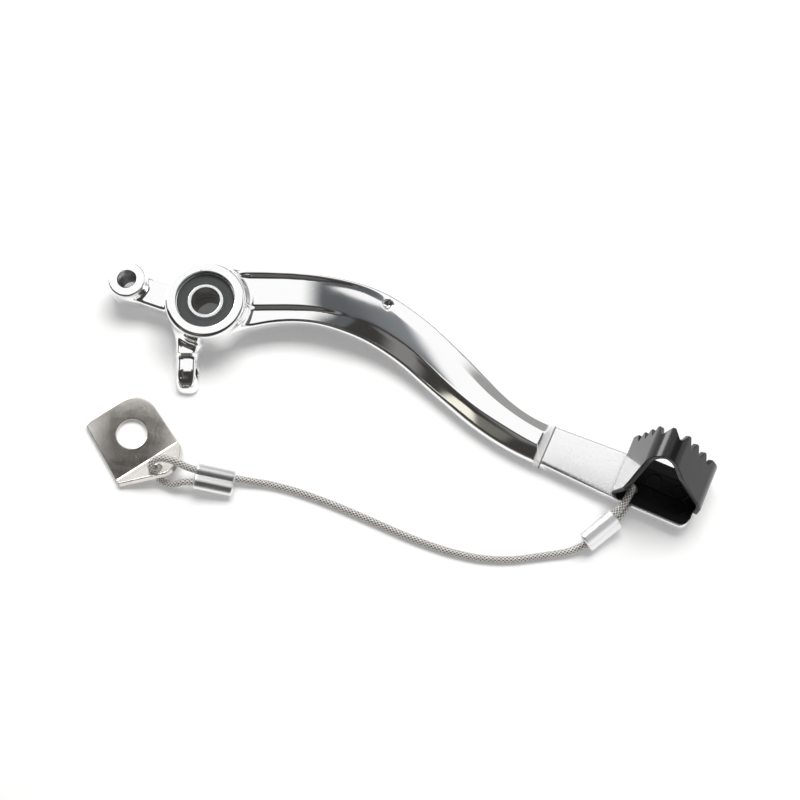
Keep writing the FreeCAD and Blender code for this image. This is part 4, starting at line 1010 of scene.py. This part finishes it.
def bracket(finish):
    """Blank with rounded edges and both holes, then its ear is turned up about the bend."""
    blank = bracket_blank()

    def flat_field(u, v, w):
        outline = outline_distance(blank, u, v)
        outline = blend_cut(outline, 5.4 - np.hypot(u, v), 0.01)
        outline = blend_cut(outline, 2.5 - np.hypot(u, v - ear_v(6.6)), 0.01)
        return blend_cut(outline, np.abs(w + BRACKET_SHEET / 2) - BRACKET_SHEET / 2, 0.4)

    points, faces, normals = field_skin(flat_field, (-14.6, -25.5, -2.9), (13.2, 13.8, 0.9), 0.28)
    u, v, w = points.T
    angle = np.clip((BRACKET_LINE - v) / BRACKET_INNER, 0, BRACKET_BEND)
    beyond = np.maximum(BRACKET_LINE - BRACKET_FOLD - v, 0)
    c, s = np.cos(angle), np.sin(angle)
    flat = v > BRACKET_LINE
    y = np.where(flat, v, BRACKET_LINE - (BRACKET_INNER - w) * s - beyond * c)
    z = BRACKET_SHEET + np.where(flat, w, BRACKET_INNER - (BRACKET_INNER - w) * c + beyond * s)
    nx, ny, nz = normals.T
    bent = np.stack([u, y, z], axis=1), faces, np.stack([nx, ny * c + nz * s, nz * c - ny * s], axis=1)
    return make_piece("anchor_bracket_plate", moved(bent, turned("z", 34.2), (-26.3, -44.6, GROUND)), finish)


BEARING_HALF = 3.0
RING_STEP = 0.85


def bearing(end, middle, steel, rubber):
    """Rings and both seals of one bearing, with broken edges. Its balls and cage stay the part's own."""
    low = middle - BEARING_HALF
    high = middle + BEARING_HALF
    foot = low + RING_STEP
    brow = high - RING_STEP
    turned_piece(end + "_outer_ring_body", end + "_bearing_outer_ring",
                 [(10.2, high), (10.2, brow), (9.2, brow), (9.2, foot), (10.2, foot), (10.2, low),
                  (SEAT_R, low), (SEAT_R, high)], 0.12, steel)
    turned_piece(end + "_inner_ring_body", end + "_bearing_inner_ring",
                 [(5.0, high), (5.0, low), (6.35, low), (6.35, foot), (6.9, foot), (6.9, brow), (6.35, brow),
                  (6.35, high)], (0.35, 0.35, 0.15, 0.05, 0.05, 0.05, 0.05, 0.15), steel, "pivot_core")
    for face, side in (("front", 1), ("rear", -1)):
        at = middle + side * 2.85
        skin = [(6.42, at), (6.42, at - side * 0.66), (10.18, at - side * 0.66), (10.18, at),
                (9.75, at), (9.55, at - side * 0.16), (7.35, at - side * 0.16), (7.1, at)]
        turned_piece(end + "_seal_" + face + "_body", end + "_bearing_seal_" + face, skin[::side],
                     (0.12, 0.1, 0.1, 0.1, 0.08, 0.08, 0.08, 0.08), rubber)


# Light, floor and camera, in metres

CARD_HEIGHT = 0.05
FLOOR_REACH = 6.0
FLOOR_GAP = 0.00002

# Panels of the surroundings that the mirror finish shows: spans to the right and ahead, as sideways distance
# over height, each with the softness of both its ends, then a tone
PANELS = (
    ((0.3, 30, 0.3, 1), (1.45, 30, 0.25, 1), (0.34, 0.335, 0.33)),
    ((0.34, 1.6, 0.06, 0.3), (-30, 0.24, 1, 0.05), (0.07, 0.068, 0.065)),
    ((-30, -1.3, 1, 0.2), (-1.25, 1.6, 0.2, 0.5), (0.06, 0.06, 0.06)),
    ((-30, -0.32, 1, 0.05), (-30, 0.28, 1, 0.03), (0.05, 0.048, 0.045)),
    ((-30, 0.7, 1, 0.2), (-30, 0.04, 1, 0.07), (0.045, 0.043, 0.04)),
    ((-30, 0.7, 1, 0.2), (-30, -2.2, 1, 0.4), (0.11, 0.107, 0.1)),
    ((-0.6, -0.2, 0.12, 0.1), (-0.8, -0.42, 0.15, 0.08), (0.22, 0.215, 0.21)),
    ((-0.94, -0.70, 0.04, 0.04), (-0.9, -0.765, 0.03, 0.03), (0.17, 0.163, 0.145)),
    ((-1.3, -0.915, 0.1, 0.04), (-0.87, -0.70, 0.025, 0.04), (1.0, 0.97, 0.84)),
    ((-1.3, -0.4, 0.15, 0.1), (0.62, 1.35, 0.08, 0.2), (10.0, 10.0, 10.0)),
)


def bare_material(name):
    """Material whose surface is still to be linked, its tree and the place on its object."""
    material = bpy.data.materials.new(name)
    material.use_nodes = True
    tree = material.node_tree
    tree.nodes.remove(tree.nodes["Principled BSDF"])
    return material, tree, object_spot(tree)


def flat_sheet(name, left, right, near, far, height, material):
    """Level rectangle of the studio."""
    mesh = bpy.data.meshes.new(name)
    mesh.from_pydata([(left, near, height), (right, near, height), (right, far, height), (left, far, height)],
                     [], [(0, 1, 2, 3)])
    mesh.materials.append(material)
    sheet = bpy.data.objects.new(name, mesh)
    bpy.context.scene.collection.objects.link(sheet)
    return sheet


def dark_card(name, x_span, y_span, tone, slant=0.0, lean=0.0):
    """Dark sheet close over the object that only shows in its reflections. Each span gives where its soft
    edges start and end. Its right and far edges lean, and the sheet gets brighter towards the right."""
    material, tree, spot = bare_material(name)
    x, y, _ = add_node(tree, "SeparateXYZ", {0: spot}).outputs
    leaning = plus(tree, x, times(tree, y, slant))
    sinking = plus(tree, y, times(tree, x, lean))
    mask = 1.0
    for value, start, end in ((x, x_span[0], x_span[1]), (leaning, x_span[3], x_span[2]),
                              (y, y_span[0], y_span[1]), (sinking, y_span[3], y_span[2])):
        mask = times(tree, mask, range_node(tree, value, start, end, 0, 1))
    strength = range_node(tree, leaning, x_span[2] - 0.025, x_span[3], 1.0, 2.0)
    glow = add_node(tree, "Emission", {"Color": tone, "Strength": strength}).outputs[0]
    clear = add_node(tree, "BsdfTransparent").outputs[0]
    both = add_node(tree, "MixShader", {0: mask, 1: clear, 2: glow}).outputs[0]
    feed(tree, tree.nodes["Material Output"].inputs[0], both)
    card = flat_sheet(name, x_span[0], x_span[3] + 0.02, y_span[0], y_span[3], CARD_HEIGHT, material)
    for ray in ("camera", "diffuse", "transmission", "volume_scatter", "shadow"):
        setattr(card, "visible_" + ray, False)


def surroundings():
    """Soft even tent for light, with panels in its reflections and plain white behind the object."""
    world = bpy.data.worlds.new("tent")
    bpy.context.scene.world = world
    world.use_nodes = True
    world.cycles.sampling_method = "NONE"
    tree = world.node_tree
    direction = add_node(tree, "TexCoord").outputs["Generated"]
    x, y, z = add_node(tree, "SeparateXYZ", {0: direction}).outputs
    height = math_node(tree, "MAXIMUM", z, 0.05)
    right = math_node(tree, "DIVIDE", x, height)
    ahead = math_node(tree, "DIVIDE", y, height)

    def window(value, low, high, low_soft, high_soft):
        rise = range_node(tree, value, low - low_soft, low + low_soft, 0, 1)
        fall = range_node(tree, value, high - high_soft, high + high_soft, 1, 0)
        return times(tree, rise, fall)

    shown = (1.0, 1.0, 1.0)
    for right_span, ahead_span, tone in PANELS:
        mask = times(tree, window(right, *right_span), window(ahead, *ahead_span))
        shown = mix_colour(tree, mask, shown, tone)
    paths = add_node(tree, "LightPath").outputs
    shown = mix_colour(tree, paths["Is Glossy Ray"], (0.36, 0.36, 0.36), shown)
    shown = mix_colour(tree, paths["Is Camera Ray"], shown, (1.0, 1.0, 1.0))
    feed(tree, tree.nodes["Background"].inputs["Color"], shown)
    feed(tree, tree.nodes["Background"].inputs["Strength"], 1.0)


def white_floor():
    """Pale floor that keeps its shadows. Camera and mirror rays see it a little brighter, and far away the
    camera sees it white."""
    material, tree, spot = bare_material("white_paper")
    paths = add_node(tree, "LightPath").outputs
    seen = math_node(tree, "MAXIMUM", paths["Is Camera Ray"],
                     math_node(tree, "MAXIMUM", paths["Is Glossy Ray"], paths["Is Transmission Ray"]))
    far = range_node(tree, vector_node(tree, "LENGTH", spot), 0.35, 1.8, 0, 0.6)
    far = times(tree, far, paths["Is Camera Ray"])
    strength = plus(tree, times(tree, seen, 0.08), far)
    diffuse = add_node(tree, "BsdfDiffuse", {"Color": (0.97, 0.97, 0.97)}).outputs[0]
    glow = add_node(tree, "Emission", {"Color": (1.0, 1.0, 1.0), "Strength": strength}).outputs[0]
    both = add_node(tree, "AddShader", {0: diffuse, 1: glow}).outputs[0]
    feed(tree, tree.nodes["Material Output"].inputs[0], both)
    reach = FLOOR_REACH
    flat_sheet("floor", -reach, reach, -reach, reach, GROUND * MM - FLOOR_GAP, material)


def placed(data, place, turn):
    """Lamp or camera in the scene, turned by degrees about X, Y and Z."""
    holder = bpy.data.objects.new(data.name, data)
    holder.location = place
    holder.rotation_euler = [math.radians(angle) for angle in turn]
    bpy.context.scene.collection.objects.link(holder)
    return holder


def studio():
    """Plain pale floor, a soft tent of light, the cards over the object, the lamp and the camera."""
    scene = bpy.context.scene
    scene.view_settings.view_transform = "Standard"
    surroundings()
    dark_card("dark_card_right", (0.030, 0.041, 0.0812, 0.0868), (-0.017, -0.013, 0.0424, 0.0438),
              (0.104, 0.111, 0.117), slant=0.4, lean=0.42)
    dark_card("dark_card_left", (-0.056, -0.045, -0.026, -0.016), (-0.075, -0.045, -0.020, -0.010),
              (0.055, 0.051, 0.046))
    dark_card("dark_card_pad", (0.120, 0.125, 0.26, 0.27), (-0.2, -0.19, 0.0140, 0.0205),
              (0.5, 0.5, 0.5), lean=0.458)
    white_floor()

    lamp = bpy.data.lights.new("soft_key", "AREA")
    lamp.shape = "RECTANGLE"
    lamp.size = 1.5
    lamp.size_y = 0.9
    lamp.energy = 38.5
    lamp.color = (1.0, 0.995, 0.985)
    lamp.specular_factor = 0.0
    placed(lamp, (0.43, 0.92, 1.90), (-25.5, 10.7, 0)).visible_glossy = False

    camera = bpy.data.cameras.new("camera")
    camera.lens = 67.5
    camera.sensor_width = 36.0
    camera.clip_start = 0.01
    camera.clip_end = 20.0
    scene.camera = placed(camera, (0.069, -0.1976, 0.5027), (17.97, 0, 0))


def main():
    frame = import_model()
    studio()

    polished = metal("polished_aluminium", (0.97, 0.97, 0.97), 0.075, haze=0.06, scratches=0.12, ripple=0.5,
                     bump=0.00003)
    satin_pad_and_painted_light(polished)
    threaded = metal("threaded_aluminium", (0.97, 0.97, 0.97), 0.3, haze=0.1, scratches=0.3, ripple=0.2)
    # painted shade inside the push-rod eye's thread
    paint_bore_shade(threaded, 3.4, around=BOSS_AT, tone=(0.55, 0.55, 0.55))
    satin = metal("satin_aluminium", (0.90, 0.90, 0.905), 0.36, haze=0.12, scratches=0.5, ripple=0.2)
    steel = metal("ground_steel", (0.80, 0.80, 0.81), 0.16, haze=0.08, scratches=0.4, ripple=0.1)
    # painted shade inside the pivot bore of the rings and spacers
    paint_bore_shade(steel, 5.06)
    sheet = metal("brushed_stainless", (0.76, 0.735, 0.70), 0.19, haze=0.2, scratches=0.45, ripple=0.3,
                  bump=0.00003, tint=(0.68, 0.65, 0.61))
    black = coated("black_oxide", (0.007, 0.007, 0.0075), 0.24, spread=0.12, grain=0.7, bump=0.000008,
                   coat=0.3)
    # painted shade on the inner sides of the folded tip
    paint_inside_shade(black, TIP_TURN @ (16.5, 0.0, 6.5) + TIP_ORIGIN, TIP_TURN @ (0.0, 1.0, 0.0))
    # painted shade: the tip's plate is blacker and less shiny than the strip, for the shade under the strip
    shaded_plate_black = coated("black_plate_painted_shade", (0.004, 0.004, 0.0045), 0.3, spread=0.12, grain=0.7, bump=0.000008,
                         specular=0.12)
    dark_steel = coated("black_screws", (0.005, 0.005, 0.0055), 0.35, grain=0.4, specular=0.1)
    rubber = coated("seal_rubber", (0.062, 0.065, 0.066), 0.6, grain=0.9)

    sleeve = wire_curve("tether_sleeve", WIRE_R)
    sleeve.data.materials.append(clear_sleeve())
    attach(sleeve, "pedal")
    line, way, side, even = wire_line()
    braid = braided_rope(line, way, side, even, braided_steel())
    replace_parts(sleeve, "tether_wire")
    near = ferrule("tip_ferrule_sleeve", (138.3, -80.7, -3.7),
                   turned("z", 37.4) @ turned("y", -10.0) @ turned("x", 245.0), satin)
    far = ferrule("anchor_ferrule_sleeve", (4.0, -62.15, -5.3), turned("z", -9.3) @ turned("y", 12.0), satin)
    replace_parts(near, "tip_ferrule")
    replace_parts(far, "anchor_ferrule")
    plate = bracket(sheet)
    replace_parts(plate, "anchor_bracket")

    shape = field_skin(lever_field, (-37.3, -79.9, -10.4), (178.9, 18.3, 10.4), 0.42)
    lever = make_piece("lever_forging", shape, polished)
    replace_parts(lever, "lever")
    # over the hub's front edge, where the forging's own grid is too coarse
    skin = 0.004
    rim = revolved([(10.4, 7.5), (HUB_R + skin, 6.9), (HUB_R + skin, HUB_TOP + skin), (10.4, HUB_TOP + skin)],
                   (0.1, 0.1, HUB_EDGE, 0.4), steps=8, segments=200)
    make_piece("lever_hub_rim", rim, polished)
    thread = [(2.9 if index % 2 else 3.35, 3.9 - 0.5 * index) for index in range(20)]
    corners = thread + [(3.45, -6.504), (6.804, -6.504), (6.804, 4.504), (3.45, 4.504)]
    eye = revolved(corners, [0.06] * len(thread) + [0.3, 0.9, 0.9, 0.3], around=BOSS_AT)
    make_piece("lever_push_rod_eye", eye, threaded)

    strip = tip_strip(black)
    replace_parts(strip, "toe_tip")
    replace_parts(tip_plate(shaded_plate_black), "toe_tip")

    bearing("front", 4.5, steel, rubber)
    bearing("rear", -4.5, steel, rubber)
    for name, inner, outer, body in (("inner_spacer", 5.0, 6.6, "pivot_core"),
                                     ("outer_spacer", 9.8, SEAT_R, "pedal")):
        corners = [(inner, -1.5), (outer, -1.5), (outer, 1.5), (inner, 1.5)]
        turned_piece(name + "_body", name, corners, 0.2, steel, body)

    for name, finish in {
        "front_bearing_balls": steel, "rear_bearing_balls": steel, "front_bearing_cage": steel,
        "rear_bearing_cage": steel, "circlip": dark_steel, "tip_screws": dark_steel,
    }.items():
        materials = frame["nodes"][name].data.materials
        materials.clear()
        materials.append(finish)


main()
